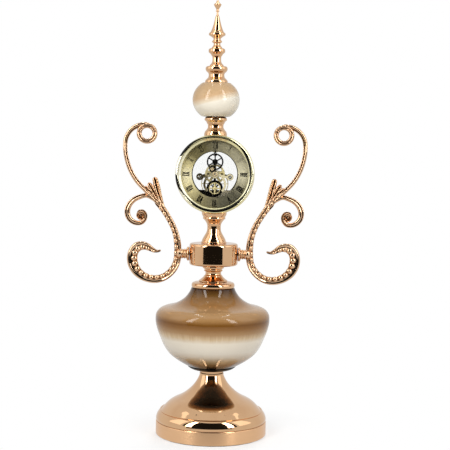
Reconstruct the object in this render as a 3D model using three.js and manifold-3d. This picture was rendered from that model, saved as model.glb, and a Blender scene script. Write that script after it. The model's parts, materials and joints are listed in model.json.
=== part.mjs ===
// An ornamental skeleton table clock: a plated foot, a glazed vase, a hub with two scrolled arms,
// a round clock insert with an open dial, a ceramic ball and a turned finial.
// Millimetres, +Z up. The dial faces -Y and z = 0 is the surface that the clock stands on.
import * as THREE from 'three';
import { mergeVertices } from 'three/addons/utils/BufferGeometryUtils.js';
import Module from 'manifold-3d';

const wasm = await Module();
wasm.setup();

// Clearances
const jointGap = 0.3;     // between two turned pieces that stand on each other
const boreGap = 0.4;      // round a rod, stem or arbor in its bore
const overrun = 1;        // of a cutting tool past the face that it cuts
const runningGap = 0.4;   // between a part that turns and what it passes

// Facets of the turned pieces
const wideFacets = 24;
const narrowFacets = 16;
const smallFacets = 8;

// Foot
const pad = { proud: 1, height: 2.2, edgeGap: 0.6, bore: 17 };
const rim = { radius: 71.7, height: 17.3, wall: 1.8, roundOver: 0.6, flange: 2.4, ledge: 4.9 };
const bell = { height: 65.3, setBack: 0.1, wall: 1.8 };
const bellRadius = rim.radius - bell.setBack;
const ballast = { thickness: 13, pocketRadius: 14, pocketDepth: 9 };
const washer = { radius: 10, thickness: 1.6 };
const baseNut = { flats: 13, thickness: 6 };

// Stand above the foot
const seat = { height: 5.2, radius: 31 };
const vase = { height: 101.5, radius: 73.9, wall: 4.5, footBore: 12 };
const cap = { height: 8.2, radius: 27.8 };
const spool = { height: 20.5, radius: 18.5 };
const hub = { height: 28.4, radius: 31.3, roundOver: 3 };
const neck = { radius: 16.5, height: 44 };
const lowerRod = { radius: 4, foot: 2.6, engage: 2.6 };

// Arms
const spindle = { length: 9.4, discRadius: 9, discWidth: 3, neckRadius: 5.2, footRadius: 6.2 };
const stud = { radius: 2.2, inHub: 15, inArm: 6 };
const arm = {
  halfDepth: 2.7, beadDepth: 4.1, stemHalf: 3.1, bandHalf: 5.4, scrollHalf: 2.9, innerPetal: 3.2,
  outerPetal: 2.7,
};
const eye = { out: 46.7, z: 154.3, radius: 13.4, hole: 6.9, halfDepth: 4.4 };
const beads = { count: 24, startShare: 0.25, inPlane: 0.5, insetShare: 0.5 };

// Case and glass
const clockAxis = 89.2;   // from the top of the hub up to the middle of the dial
const drum = { radius: 48.5, bore: 44.8, front: -13, back: 13 };
const bezel = { radius: 50.6, depth: 7.2, opening: 43.5, rebate: 1.9, lip: 0.5 };
const lens = { radius: 45.5, thickness: 1.6 };
const backCover = { radius: 50, depth: 3.2, opening: 29, lip: 1.4 };
const backLens = { radius: 30.2, thickness: 1.4 };

// Dial and hands
const dial = { radius: 44.4, opening: 29.75, thickness: 0.8, front: -10.3 };
const hand = {
  thickness: 0.4, minuteLength: 33, minuteHalf: 1.1, minuteHeart: 2, minuteBoss: 2.6, minuteFront: -12.2,
  hourLength: 22.5, hourHalf: 1.5, hourHeart: 2.8, hourBoss: 3, hourFront: -11.5,
};
const handsNut = { radius: 3.3, thickness: 0.5 };
const minuteArbor = { radius: 0.95, wheelRadius: 4.4 };
const hourPipe = { wall: 0.6, length: 3.4 };
const motionWheel = { x: -3.3, z: 6.7, radius: 4.6, thickness: 0.5, stud: 2.4 };

// Movement: plates and pillars
const plate = { radius: 44.4, thickness: 1.2 };
const frontPlateFront = dial.front + dial.thickness + jointGap;
const frontPlateBack = frontPlateFront + plate.thickness;
const backPlateFront = 4.6;
const pillar = { radius: 2.5, reach: 25.5 };
const bridge = {
  front: -6.6, thickness: 1, eyeX: 19.5, eyeZ: -3.7, eyeRadius: 4.1, postRadius: 3.1, halfWidth: 2.2,
  middle: 5.2, prongHalfWidth: 1.76,
};
const bridgeProng = [[9, -2.6], [12.6, -9], [13.2, -16], [10.4, -20.6]];
const trainBar = { front: 1.9, thickness: 0.9, halfWidth: 1.6, padWall: 1.4 };
const segment = { front: 0.2, thickness: 1, chord: -20.5, radius: 41 };

// Movement: wheels
const arborRadius = 0.9;
const upperWheel = { z: 15.9, front: -4.9, thickness: 1, spokes: 6, rim: 1.7 };
const setPinion = { z: 35, thickness: 1.4, spokes: 0, rim: 1.5 };
const setStem = { radius: 1.5 };
const knob = { radius: 7, depth: 6, grooves: 20, groove: 0.5 };
const centreWheel = { radius: 13.2, front: -1.5, thickness: 1, spokes: 5, rim: 1.8, bossRadius: 2.8 };
const centrePipe = { radius: 2.4, lead: 0.6 };
const largeWheel = { z: -12.5, radius: 17.8, front: 3.2, thickness: 0.7, spokes: 4, rim: 1.5 };
const secondsDrum = { z: -18.2, radius: 10.6, bore: 7.8, front: -4.9, thickness: 2.6, spokes: 4 };
const cell = { radius: 5.8, thickness: 5.2, z: -37.6, wall: 0.7 };
const batteryCap = { radius: 7.4, thickness: 1.6, slotWidth: 1.6, slotDepth: 0.7 };

// Ball and finial
const collar = { height: 25, radius: 14.7 };
const ball = { height: 43, radius: 30.4, wall: 4, drop: 26.8 };
const finialBase = { height: 20.6, radius: 14.6 };
const finialStem = { height: 22.5, radius: 10.7 };
const finialCup = { height: 19.9, radius: 10.7 };
const spire = { height: 25.4, radius: 8.6 };
const tip = { height: 15.1, radius: 4.9 };
const upperRod = { radius: 3, engage: 2.6, inFinial: 52 };

// Colours and finishes
function finish(color, roughness, metalness, opacity = 1) {
  const transparent = opacity < 1;
  return () => new THREE.MeshStandardMaterial({ color, roughness, metalness, opacity, transparent });
}
const roseGold = finish(0xd9a478, 0.12, 1);
const satinRose = finish(0xd8a67c, 0.35, 1);
const yellowGold = finish(0xd6c46a, 0.15, 1);
const brass = finish(0xb58e3e, 0.3, 1);
const blackMetal = finish(0x17130f, 0.35, 0.6);
const steel = finish(0x9a9a98, 0.35, 1);
const glaze = finish(0xa0703c, 0.08, 0);
const cream = finish(0xe9e1d2, 0.08, 0);
const dialBrass = finish(0xb9b078, 0.35, 0.8);
const clear = finish(0xf2f6f6, 0.05, 0, 0.25);
const blackPlastic = finish(0x141414, 0.4, 0);
const foam = finish(0x2a2a2a, 0.95, 0);
const cement = finish(0xa7a39b, 0.9, 0);

// Solids from geometry, and geometry from solids

function weld(geometry) {
  const bare = geometry.index ? geometry.toNonIndexed() : geometry.clone();
  bare.deleteAttribute('normal');
  bare.deleteAttribute('uv');
  const merged = mergeVertices(bare, 1e-4);
  const faces = [];
  for (let i = 0; i < merged.index.count; i += 3) {
    const [a, b, c] = [0, 1, 2].map((k) => merged.index.getX(i + k));
    if (a !== b && b !== c && c !== a) faces.push(a, b, c);
  }
  merged.setIndex(faces);
  return merged;
}

function signedVolume(geometry) {
  const corner = [new THREE.Vector3(), new THREE.Vector3(), new THREE.Vector3()];
  let sum = 0;
  for (let i = 0; i < geometry.index.count; i += 3) {
    corner.forEach((v, k) => v.fromBufferAttribute(geometry.attributes.position, geometry.index.getX(i + k)));
    sum += corner[0].dot(corner[1].clone().cross(corner[2])) / 6;
  }
  return sum;
}

// A welded copy with its faces pointing out
function closed(geometry) {
  const merged = weld(geometry);
  if (signedVolume(merged) < 0) {
    const index = merged.index.array;
    for (let i = 0; i < index.length; i += 3) [index[i + 1], index[i + 2]] = [index[i + 2], index[i + 1]];
  }
  return merged;
}

function solid(geometry) {
  const merged = closed(geometry);
  return new wasm.Manifold(new wasm.Mesh({
    numProp: 3,
    vertProperties: Float32Array.from(merged.attributes.position.array),
    triVerts: Uint32Array.from(merged.index.array),
  }));
}

function geometryOf(body) {
  const mesh = body.getMesh();
  const geometry = new THREE.BufferGeometry();
  geometry.setAttribute('position', new THREE.BufferAttribute(Float32Array.from(mesh.vertProperties), 3));
  geometry.setIndex(Array.from(mesh.triVerts));
  geometry.computeVertexNormals();
  return geometry;
}

const join = (parts) => parts.map(solid).reduce((sum, next) => sum.add(next));
const cut = (body, tools) => tools.map(solid).reduce((rest, next) => rest.subtract(next), body);

// Outlines and turned shapes

// A smooth line through the given points, each [radius, level]
function through(points, steps) {
  const curve = new THREE.SplineCurve(points.map(([r, z]) => new THREE.Vector2(r, z)));
  return curve.getPoints(steps).map((p) => [p.x, p.y]);
}

// An outline drawn at its own size, stretched to a piece's radius and height
function fitted(points, radius, height) {
  const widest = Math.max(...points.map((p) => p[0]));
  const tallest = Math.max(...points.map((p) => p[1]));
  return points.map(([r, z]) => [r * radius / widest, z * height / tallest]);
}

// A quarter round from one direction to the other, centred on [r, z]
function roundOver(r, z, radius, from, to, steps = 3) {
  return Array.from({ length: steps + 1 }, (_, i) => {
    const turn = from + (to - from) * i / steps;
    return [r + radius * Math.cos(turn), z + radius * Math.sin(turn)];
  });
}

// Turned about Z: the outline closes on itself
function turnedZ(outline, facets) {
  const points = [...outline, outline[0]].map(([r, z]) => new THREE.Vector2(r, z));
  return new THREE.LatheGeometry(points, facets).rotateX(Math.PI / 2);
}

// Turned about Y: levels of the outline run back from the dial
function turnedY(outline, facets) {
  const points = [...outline, outline[0]].map(([r, y]) => new THREE.Vector2(r, y));
  return new THREE.LatheGeometry(points, facets);
}

// Turned about X: levels of the outline run along the arm's spindle
function turnedX(outline, facets) {
  return turnedZ(outline, facets).rotateY(Math.PI / 2);
}

// A turned piece with a bore for the rod
function bored(outer, bore, facets) {
  const top = outer[outer.length - 1][1];
  return turnedZ([[bore, outer[0][1]], ...outer, [bore, top]], facets);
}

// Discs, rings and posts along Y, from front to back
function ringY(outer, inner, front, back, facets, x = 0, z = 0) {
  const section = [[inner, front], [outer, front], [outer, back], [inner, back]];
  return turnedY(section, facets).translate(x, 0, z);
}

function postY(radius, front, back, facets, x = 0, z = 0) {
  const body = new THREE.CylinderGeometry(radius, radius, back - front, facets);
  return body.translate(x, (front + back) / 2, z);
}

// A flat outline in the dial's plane, as thick as back - front
function slabY(shape, front, back, steps = 6) {
  const body = new THREE.ExtrudeGeometry(shape, { depth: back - front, bevelEnabled: false, curveSegments: steps });
  return body.rotateX(Math.PI / 2).translate(0, back, 0);
}

const lowerBore = lowerRod.radius + boreGap;
const upperBore = upperRod.radius + boreGap;
const model = new THREE.Group();

function add(name, material, geometry, parent = model) {
  const mesh = new THREE.Mesh(closed(geometry), material());
  mesh.name = name;
  parent.add(mesh);
  return mesh;
}

// Levels of the stack, from the surface up
const rimFoot = pad.proud;
const rimTop = rimFoot + rim.height;
const bellFoot = rimTop + jointGap;
const bellTop = bellFoot + bell.height;
const seatFoot = bellTop + jointGap;
const vaseFoot = seatFoot + seat.height + jointGap;
const vaseTop = vaseFoot + vase.height;
const capFoot = vaseTop + jointGap;
const spoolFoot = capFoot + cap.height + jointGap;
const hubFoot = spoolFoot + spool.height + jointGap;
const hubTop = hubFoot + hub.height;
const hubAxis = hubFoot + hub.height / 2;
const neckFoot = hubTop + jointGap;
const dialZ = hubTop + clockAxis;
const collarFoot = dialZ + drum.radius;
const ballFoot = collarFoot + collar.height + jointGap;
const finialFoot = ballFoot + ball.height + jointGap;
const stemFoot = finialFoot + finialBase.height + jointGap;
const cupFoot = stemFoot + finialStem.height + jointGap;
const spireFoot = cupFoot + finialCup.height + jointGap;
const tipFoot = spireFoot + spire.height + jointGap;

function lift(outline, level) {
  return outline.map(([r, z]) => [r, z + level]);
}

// Foot: rim, pad, ballast, nut
function footParts() {
  const { radius, height, wall, flange, ledge } = rim;
  const inside = radius - wall;
  const rimLine = [
    [inside, 0], [radius, 0],
    ...roundOver(radius - rim.roundOver, height - rim.roundOver, rim.roundOver, 0, Math.PI / 2),
    [bellRadius - ledge, height], [bellRadius - ledge, height - flange], [inside, height - flange],
  ];
  add('base_rim', satinRose, turnedZ(lift(rimLine, rimFoot), wideFacets));

  const padRadius = inside - pad.edgeGap;
  const padLine = [[pad.bore, 0], [padRadius, 0], [padRadius, pad.height], [pad.bore, pad.height]];
  add('base_pad', foam, turnedZ(padLine, wideFacets));

  const top = rimTop - flange - jointGap;
  const under = top - ballast.thickness;
  const pocketTop = under + ballast.pocketDepth;
  const ballastLine = [
    [ballast.pocketRadius, under], [padRadius, under], [padRadius, top],
    [lowerBore, top], [lowerBore, pocketTop], [ballast.pocketRadius, pocketTop],
  ];
  add('ballast_disc', cement, turnedZ(ballastLine, wideFacets));

  const washerTop = pocketTop - jointGap;
  const washerFoot = washerTop - washer.thickness;
  const washerLine = [
    [lowerBore, washerFoot], [washer.radius, washerFoot], [washer.radius, washerTop], [lowerBore, washerTop],
  ];
  add('base_washer', steel, turnedZ(washerLine, smallFacets));

  const nutTop = washerFoot - jointGap;
  const nutRadius = baseNut.flats / Math.sqrt(3);
  const nut = new THREE.CylinderGeometry(nutRadius, nutRadius, baseNut.thickness, 6).rotateX(Math.PI / 2);
  nut.translate(0, 0, nutTop - baseNut.thickness / 2);
  const bore = new THREE.CylinderGeometry(lowerBore, lowerBore, 3 * baseNut.thickness, smallFacets);
  bore.rotateX(Math.PI / 2).translate(0, 0, nutTop);
  add('base_nut', steel, geometryOf(cut(solid(nut), [bore])));
}

// Every second point of an outer line, moved in by the wall
function innerLine(outer, wall) {
  const inner = [];
  for (let i = 1; i < outer.length - 1; i += 2) {
    const [before, after] = [outer[i - 1], outer[i + 1]];
    const along = new THREE.Vector2(after[0] - before[0], after[1] - before[1]).normalize();
    inner.push([outer[i][0] - wall * along.y, outer[i][1] + wall * along.x]);
  }
  return inner;
}

// The bell from its foot up: shoulder, dome, then trumpet
const bellOutline = [
  [71.2, 0], [71.6, 2.9], [71, 5.6], [69.6, 8.2], [67.3, 10.6], [64.4, 13], [62.2, 15.8], [60.4, 18.6],
  [57.8, 21.2], [53.8, 24.4], [48.8, 27.2], [42.6, 30.2], [36.6, 33.8], [30.6, 38.4], [25.2, 43.6],
  [20.6, 49.4], [17, 55.6], [14.8, 61], [14.2, 65.3],
];

function bellPart() {
  const outer = fitted(through(bellOutline, bellOutline.length - 1), bellRadius, bell.height);
  const top = outer[outer.length - 1][1];
  const inner = innerLine(outer, bell.wall).filter(([, z]) => z < top - 2 * bell.wall);
  const neckIn = inner[inner.length - 1][0];
  const plateUnder = top - bell.wall;
  const line = [
    [outer[0][0] - bell.wall, 0], ...outer, [lowerBore, top], [lowerBore, plateUnder],
    [neckIn, plateUnder], ...inner.reverse(),
  ];
  add('base_bell', roseGold, turnedZ(lift(line, bellFoot), wideFacets));
}

// The black dish under the vase
const seatOutline = [[18, 0], [23.5, 0.8], [28, 2.6], [31, 5.2]];

function seatPart() {
  const outer = fitted(seatOutline, seat.radius, seat.height);
  add('vase_seat', blackPlastic, bored(lift(outer, seatFoot), lowerBore, narrowFacets + 4));
}

// The vase from its foot up: bowl, shoulder, neck
const vaseOutline = [
  [31, 0], [39, 4.4], [48, 10.2], [56, 17], [62.4, 26], [67.8, 38], [72, 49.5], [73.9, 60], [72.7, 68.8],
  [69, 73.4], [63.3, 76], [56, 77.9], [50, 79.9], [44.4, 82.6], [39.4, 85.6], [35.3, 89.2], [31.9, 93.6],
  [29.3, 98], [28, 101.5],
];

function vasePart() {
  const outer = fitted(through(vaseOutline, 19), vase.radius, vase.height);
  const top = outer[outer.length - 1][1];
  const inner = innerLine(outer, vase.wall).filter(([r]) => r > vase.footBore);
  const floor = vase.wall;
  const mouth = outer[outer.length - 1][0] - vase.wall;
  const wallLine = inner.filter(([, z]) => z > floor && z < top - 1).reverse();
  const line = [[vase.footBore, 0], ...outer, [mouth, top], ...wallLine, [vase.footBore, floor]];
  add('vase', glaze, turnedZ(lift(line, vaseFoot), wideFacets));
}

// Turned pieces between vase and hub
const capOutline = [[26.4, 0], [27.5, 0.9], [27.8, 3], [27.6, 5.4], [26.4, 7.2], [24, 8], [14, 8.2]];
const spoolOutline = [
  [18.5, 0], [18.3, 1.3], [14.8, 4], [11.8, 6.4], [10.3, 9], [10.3, 12.6], [11.4, 15], [13.4, 16.8],
  [13.9, 18.6], [13.4, 20.5],
];

function capAndSpool() {
  const capLine = fitted(capOutline, cap.radius, cap.height);
  add('vase_cap', roseGold, bored(lift(capLine, capFoot), lowerBore, wideFacets - 4));
  const spoolLine = fitted(spoolOutline, spool.radius, spool.height);
  add('spool', roseGold, bored(lift(spoolLine, spoolFoot), lowerBore, narrowFacets));
}

// Hub: a drum bored for the rod, and from both sides for the studs of the arms
const studBore = stud.radius + boreGap;

function hubPart() {
  const { radius, height, roundOver: edge } = hub;
  const outer = [
    ...roundOver(radius - edge, edge, edge, -Math.PI / 2, 0),
    ...roundOver(radius - edge, height - edge, edge, 0, Math.PI / 2),
  ];
  const body = solid(bored(lift(outer, hubFoot), lowerBore, wideFacets));
  const drill = new THREE.CylinderGeometry(studBore, studBore, stud.inHub + radius, smallFacets);
  drill.rotateZ(Math.PI / 2);
  const reach = radius - stud.inHub + drill.parameters.height / 2;
  const drills = [1, -1].map((side) => drill.clone().translate(side * reach, 0, hubAxis));
  add('hub', roseGold, geometryOf(cut(body, drills)));
}

// Neck: a turned piece whose head is hollowed to the round of the case
const neckOutline = [
  [16.5, 0], [16.5, 1.6], [14.7, 5], [12.6, 8.9], [10.6, 12.3], [9, 16], [8.7, 20], [9.2, 24.6], [11.4, 28.2],
  [13.5, 31], [14, 33.4], [15.9, 36.4], [16.2, 40], [16.2, 44],
];

// What a piece that meets the case is hollowed by: the drum, the bezel and the back cover
function caseRound() {
  const far = 2 * drum.radius;
  return [
    postY(drum.radius + jointGap, -far, far, 2 * narrowFacets, 0, dialZ),
    postY(bezel.radius + jointGap, -far, drum.front, 2 * narrowFacets, 0, dialZ),
    postY(backCover.radius + jointGap, drum.back, far, 2 * narrowFacets, 0, dialZ),
  ];
}

function neckPart() {
  const outer = fitted(neckOutline, neck.radius, neck.height);
  const body = solid(bored(lift(outer, neckFoot), lowerBore, narrowFacets));
  add('neck', roseGold, geometryOf(cut(body, caseRound())));
}

// Collar under the ball, hollowed to the round of the case as the neck is
const collarOutline = [
  [14.7, 0], [14.6, 4], [14, 5.6], [12, 8.1], [10.4, 10.6], [10.1, 13.2], [10.4, 15.8], [12, 18.4],
  [13.4, 20.9], [14, 23.4], [13, 24.6], [11.5, 25],
];
function collarPart() {
  const outer = fitted(collarOutline, collar.radius, collar.height);
  const skirt = [outer[0][0], -3];
  const body = solid(bored(lift([skirt, ...outer], collarFoot), upperBore, narrowFacets));
  add('ball_collar', roseGold, geometryOf(cut(body, caseRound())));
}

// Ball: an egg of revolution cut flat at both ends, hollow
function ballPart() {
  const half = ball.height / 2;
  const level = (z, r, drop) => r * Math.sqrt(1 - (z / drop) ** 2);
  const steps = 9;
  const outer = Array.from({ length: steps + 1 }, (_, i) => {
    const z = -half + ball.height * i / steps;
    return [level(z, ball.radius, ball.drop), z + half];
  });
  const innerHalf = half - ball.wall;
  const innerSteps = 4;
  const inner = Array.from({ length: innerSteps + 1 }, (_, i) => {
    const z = innerHalf - 2 * innerHalf * i / innerSteps;
    return [level(z, ball.radius - ball.wall, ball.drop - ball.wall), z + half];
  });
  const line = [
    [upperBore, 0], ...outer, [upperBore, ball.height], [upperBore, half + innerHalf], ...inner,
    [upperBore, half - innerHalf],
  ];
  add('ceramic_ball', cream, turnedZ(lift(line, ballFoot), wideFacets - 4));
}

// Finial: five turned pieces, the lower three bored for the rod
const finialBaseOutline = [
  [14.6, 0], [14.6, 2.6], [12.6, 4.6], [10.9, 6.4], [10.1, 9], [10.2, 11], [11.5, 13], [13.7, 15.6],
  [13.9, 19.6], [12.8, 20.6],
];
const finialStemOutline = [
  [9.2, 0], [8.9, 1.6], [6.3, 4.8], [5.6, 9.4], [6, 13], [8.2, 15.8], [10.5, 17.6], [10.7, 21.4], [9.4, 23],
];
const finialCupOutline = [
  [6.9, 0], [6.6, 1.2], [4.5, 4.2], [4.4, 6.2], [6.1, 7.8], [6.2, 9.6], [4.7, 12.2], [7, 14.2], [10.5, 16.4],
  [10.7, 19], [9.8, 19.9],
];
const spireOutline = [[8.6, 0], [7.6, 2.4], [6.2, 5.8], [5, 9.6], [3.6, 15.8], [2.3, 21], [1.3, 24.6], [1.2, 26]];
const tipOutline = [[1.5, 0], [2.2, 1.6], [1.5, 3], [2.4, 5], [3.9, 7.4], [4.9, 9.8], [3.6, 11.2], [1.9, 12.8], [1.6, 15.2]];

function finialParts() {
  const rodTop = finialFoot + upperRod.inFinial;
  const places = [
    ['finial_base', finialBaseOutline, finialBase, finialFoot],
    ['finial_stem', finialStemOutline, finialStem, stemFoot],
    ['finial_cup', finialCupOutline, finialCup, cupFoot],
    ['finial_spire', spireOutline, spire, spireFoot],
    ['finial_tip', tipOutline, tip, tipFoot],
  ];
  for (const [name, outline, size, level] of places) {
    const outer = lift(fitted(outline, size.radius, size.height), level);
    const top = outer[outer.length - 1][1];
    const holeTop = rodTop + jointGap;
    const axisEnd = holeTop < top ? [0, top] : [upperBore, top];
    const underside = holeTop < level ? [[0, level]] : [[upperBore, level]];
    if (holeTop > level && holeTop < top) underside.unshift([0, holeTop], [upperBore, holeTop]);
    add(name, roseGold, turnedZ([...underside, ...outer, axisEnd], smallFacets + 4));
  }
  return rodTop;
}

// Rods
function rodParts(rodTop) {
  const caseUnder = dialZ - drum.radius;
  const caseTop = dialZ + drum.radius;
  const lower = new THREE.CylinderGeometry(
    lowerRod.radius, lowerRod.radius, caseUnder + lowerRod.engage - lowerRod.foot, smallFacets,
  );
  lower.rotateX(Math.PI / 2).translate(0, 0, (caseUnder + lowerRod.engage + lowerRod.foot) / 2);
  add('lower_rod', steel, lower);
  const upper = new THREE.CylinderGeometry(
    upperRod.radius, upperRod.radius, rodTop - caseTop + upperRod.engage, smallFacets,
  );
  upper.rotateX(Math.PI / 2).translate(0, 0, (rodTop + caseTop - upperRod.engage) / 2);
  add('upper_rod', steel, upper);
}

footParts();
bellPart();
seatPart();
vasePart();
capAndSpool();
hubPart();
neckPart();
collarPart();
ballPart();
rodParts(finialParts());

// Arms. Routes are drawn for the right arm as [x, z], with x from the boss that the spindle meets and
// z from the axis of the hub.
const stemRoute = [
  [24.7, 58], [36.7, 70], [47.7, 81], [59.2, 93], [67.2, 106], [72.3, 120], [75, 136], [73.3, 149], [66.7, 159],
  [56.7, 164.6], [46.7, 165],
];
const bandRoute = [
  [24.7, 58], [18.4, 47.4], [12.7, 37.4], [8, 25.6], [5.4, 12.2], [5.2, 0], [6, -9.5], [9.6, -18.6],
  [16.1, -26.3], [24.7, -31.8], [34.3, -33.8], [43.4, -32.6], [51.6, -28.9], [58.5, -22.7], [62.8, -14.5],
  [64, -5.6], [62, 2.4], [57, 8], [51.1, 9.6], [44.9, 8.4], [38, 4.5], [29.8, 3],
];
const bandHalves = [
  0.64, 0.69, 0.72, 0.75, 0.86, 0.86, 0.88, 0.89, 0.89, 0.91, 0.95, 0.98, 1.05, 1.17, 1.26, 1.27, 1.2, 1.18,
  1.05, 0.92, 0.63, 0.36,
];
const scrollRoute = [
  [28.7, 63], [37.2, 70], [46.7, 74.4], [55.4, 72.4], [63.4, 68.2], [68.6, 62], [70.9, 54.3], [69.7, 47],
  [65.2, 41.5], [59, 38.8], [52.7, 39.4], [48.5, 43.8], [47.7, 49.4], [51.1, 53.8], [55.7, 53.4], [57.1, 50],
];
const scrollHalves = [0.5, 0.66, 0.8, 0.95, 1.1, 1.2, 1.25, 1.2, 1.1, 1, 0.95, 0.9, 0.9, 0.85, 0.8, 0.7];
const petals = [
  { route: [[26.7, 60], [31.1, 74], [34.7, 88], [38.3, 98]], halves: [0.35, 0.75, 1.05, 0.6], size: arm.innerPetal },
  { route: [[27.7, 60], [34.3, 73], [40.3, 83.4], [44.7, 90]], halves: [0.35, 0.7, 1, 0.6], size: arm.outerPetal },
];

function routeLine(route) {
  return new THREE.SplineCurve(route.map(([x, z]) => new THREE.Vector2(bossStart + x, z)));
}

// A tube along a route in the plane of the arms, with its own half width at each point
function tube(route, halves, halfDepth, steps, sides) {
  const line = routeLine(route);
  const width = new THREE.SplineCurve(halves.map((h, i) => new THREE.Vector2(i, h)));
  const positions = [];
  const faces = [];
  for (let i = 0; i <= steps; i += 1) {
    const t = i / steps;
    const at = line.getPoint(t);
    const way = line.getTangent(t);
    const half = width.getPoint(t).y;
    for (let k = 0; k < sides; k += 1) {
      const turn = 2 * Math.PI * (k + 0.5) / sides;
      const across = half * Math.cos(turn);
      positions.push(at.x - way.y * across, halfDepth(t, half) * Math.sin(turn), at.y + way.x * across);
      if (i < steps) {
        const [a, b] = [i * sides + k, i * sides + (k + 1) % sides];
        faces.push(a, b, b + sides, a, b + sides, a + sides);
      }
    }
  }
  for (const [ring, t] of [[0, 0], [steps, 1]]) {
    const at = line.getPoint(t);
    const middle = positions.length / 3;
    positions.push(at.x, 0, at.y);
    for (let k = 0; k < sides; k += 1) {
      const [a, b] = [ring * sides + k, ring * sides + (k + 1) % sides];
      faces.push(...(ring ? [a, b, middle] : [b, a, middle]));
    }
  }
  const geometry = new THREE.BufferGeometry();
  geometry.setAttribute('position', new THREE.Float32BufferAttribute(positions, 3));
  geometry.setIndex(faces);
  return geometry;
}

// One bead: a small faceted ball that stands out on both faces of the band
function bead(x, z, half) {
  return new THREE.OctahedronGeometry(1, 0).scale(half, arm.beadDepth, half).translate(x, 0, z);
}

function beadRow() {
  const line = routeLine(bandRoute);
  const width = new THREE.SplineCurve(bandHalves.map((h, i) => new THREE.Vector2(i, h * arm.bandHalf)));
  return Array.from({ length: beads.count }, (_, i) => {
    const t = (i + beads.startShare) / (beads.count + 1);
    const at = line.getPoint(t);
    const way = line.getTangent(t);
    const half = width.getPoint(t).y;
    const inset = half * beads.insetShare;
    return bead(at.x - way.y * inset, at.y + way.x * inset, half * beads.inPlane);
  });
}

function armSolid() {
  const full = (t, half) => Math.min(arm.halfDepth + 0.5, half);
  const band = tube(bandRoute, bandHalves.map((h) => h * arm.bandHalf), () => arm.halfDepth, 26, 6);
  const stemHalves = stemRoute.map(() => arm.stemHalf);
  const stem = tube(stemRoute, stemHalves, full, 15, 6);
  const scroll = tube(scrollRoute, scrollHalves.map((h) => h * arm.scrollHalf), full, 20, 6);
  const leaf = petals.map(({ route, halves, size }) => tube(route, halves.map((h) => h * size), full, 4, 6));
  const eyeRing = ringY(eye.radius, eye.hole, -eye.halfDepth, eye.halfDepth, narrowFacets + 4, bossStart + eye.out, eye.z);
  const boss = turnedX([[0, 0], [spindle.footRadius, 0], [spindle.footRadius, stud.inArm], [0, stud.inArm]], smallFacets);
  boss.translate(bossStart, 0, 0);
  return join([band, stem, scroll, ...leaf, eyeRing, boss, ...beadRow()]);
}

const spindleStart = hub.radius + jointGap;
const bossStart = spindleStart + spindle.length + jointGap;

function armParts() {
  const { discRadius, discWidth, neckRadius, footRadius, length } = spindle;
  const spindleLine = [
    [discRadius - 0.8, 0], [discRadius, 0.8], [discRadius, discWidth - 0.8], [discRadius - 1.4, discWidth],
    [neckRadius + 0.6, discWidth + 1], [neckRadius, (discWidth + length) / 2], [footRadius, length],
  ];
  const spindleBody = turnedX([[studBore, 0], ...spindleLine, [studBore, length]], smallFacets + 4);
  const studStart = hub.radius - stud.inHub + jointGap;
  const studEnd = bossStart + stud.inArm - jointGap;
  const studBody = turnedX([[0, studStart], [stud.radius, studStart], [stud.radius, studEnd], [0, studEnd]], smallFacets);
  const drill = turnedX([[0, -overrun], [studBore, -overrun], [studBore, stud.inArm], [0, stud.inArm]], smallFacets);
  drill.translate(bossStart, 0, 0);
  const armBody = geometryOf(cut(armSolid(), [drill]));
  for (const [side, name] of [[1, 'right'], [-1, 'left']]) {
    const mirror = new THREE.Matrix4().makeScale(side, 1, 1);
    const place = (geometry) => geometry.clone().applyMatrix4(mirror).translate(0, 0, hubAxis);
    add(`arm_spindle_${name}`, roseGold, place(spindleBody.clone().translate(spindleStart, 0, 0)));
    add(`arm_stud_${name}`, steel, place(studBody));
    add(`arm_${name}`, roseGold, place(armBody));
  }
}

armParts();

// The bezel's round outside, each point [in from its edge, back from its front]
const bezelRound = [
  [0.6, 7.2], [0, 6.6], [0, 3.6], [0.5, 1.8], [1.6, 0.4], [2.7, 0], [3.5, 0.6], [3.8, 2], [4.4, 2.3],
];

// Case, glass and covers, in a group at the middle of the dial
const clock = new THREE.Group();
clock.position.set(0, 0, dialZ);
model.add(clock);

function caseParts() {
  const body = solid(ringY(drum.radius, drum.bore, drum.front, drum.back, 2 * narrowFacets));
  const under = new THREE.CylinderGeometry(lowerBore, lowerBore, 2 * lowerRod.engage + 2 * jointGap, smallFacets);
  const over = new THREE.CylinderGeometry(upperBore, upperBore, 2 * upperRod.engage + 2 * jointGap, smallFacets);
  const drills = [
    under.rotateX(Math.PI / 2).translate(0, 0, -drum.radius),
    over.rotateX(Math.PI / 2).translate(0, 0, drum.radius),
  ];
  add('case_drum', yellowGold, geometryOf(cut(body, drills)), clock);

  const back = drum.front - jointGap;
  const out = (step) => back - step;
  const inner = lens.radius + jointGap;
  const { radius, depth, opening, rebate, lip } = bezel;
  const bezelLine = [
    [inner, out(0)], ...bezelRound.map(([inset, fall]) => [radius - inset, out(depth - fall)]),
    [opening, out(rebate + lip)], [opening, out(rebate)], [inner, out(rebate)],
  ];
  add('bezel', yellowGold, turnedY(bezelLine, wideFacets), clock);
  const lensBack = out(rebate - lens.thickness - jointGap / 2);
  add('front_lens', clear, postY(lens.radius, lensBack - lens.thickness, lensBack, wideFacets), clock);
}

const coverFront = drum.back + jointGap;
const coverBack = coverFront + backCover.depth;

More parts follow.
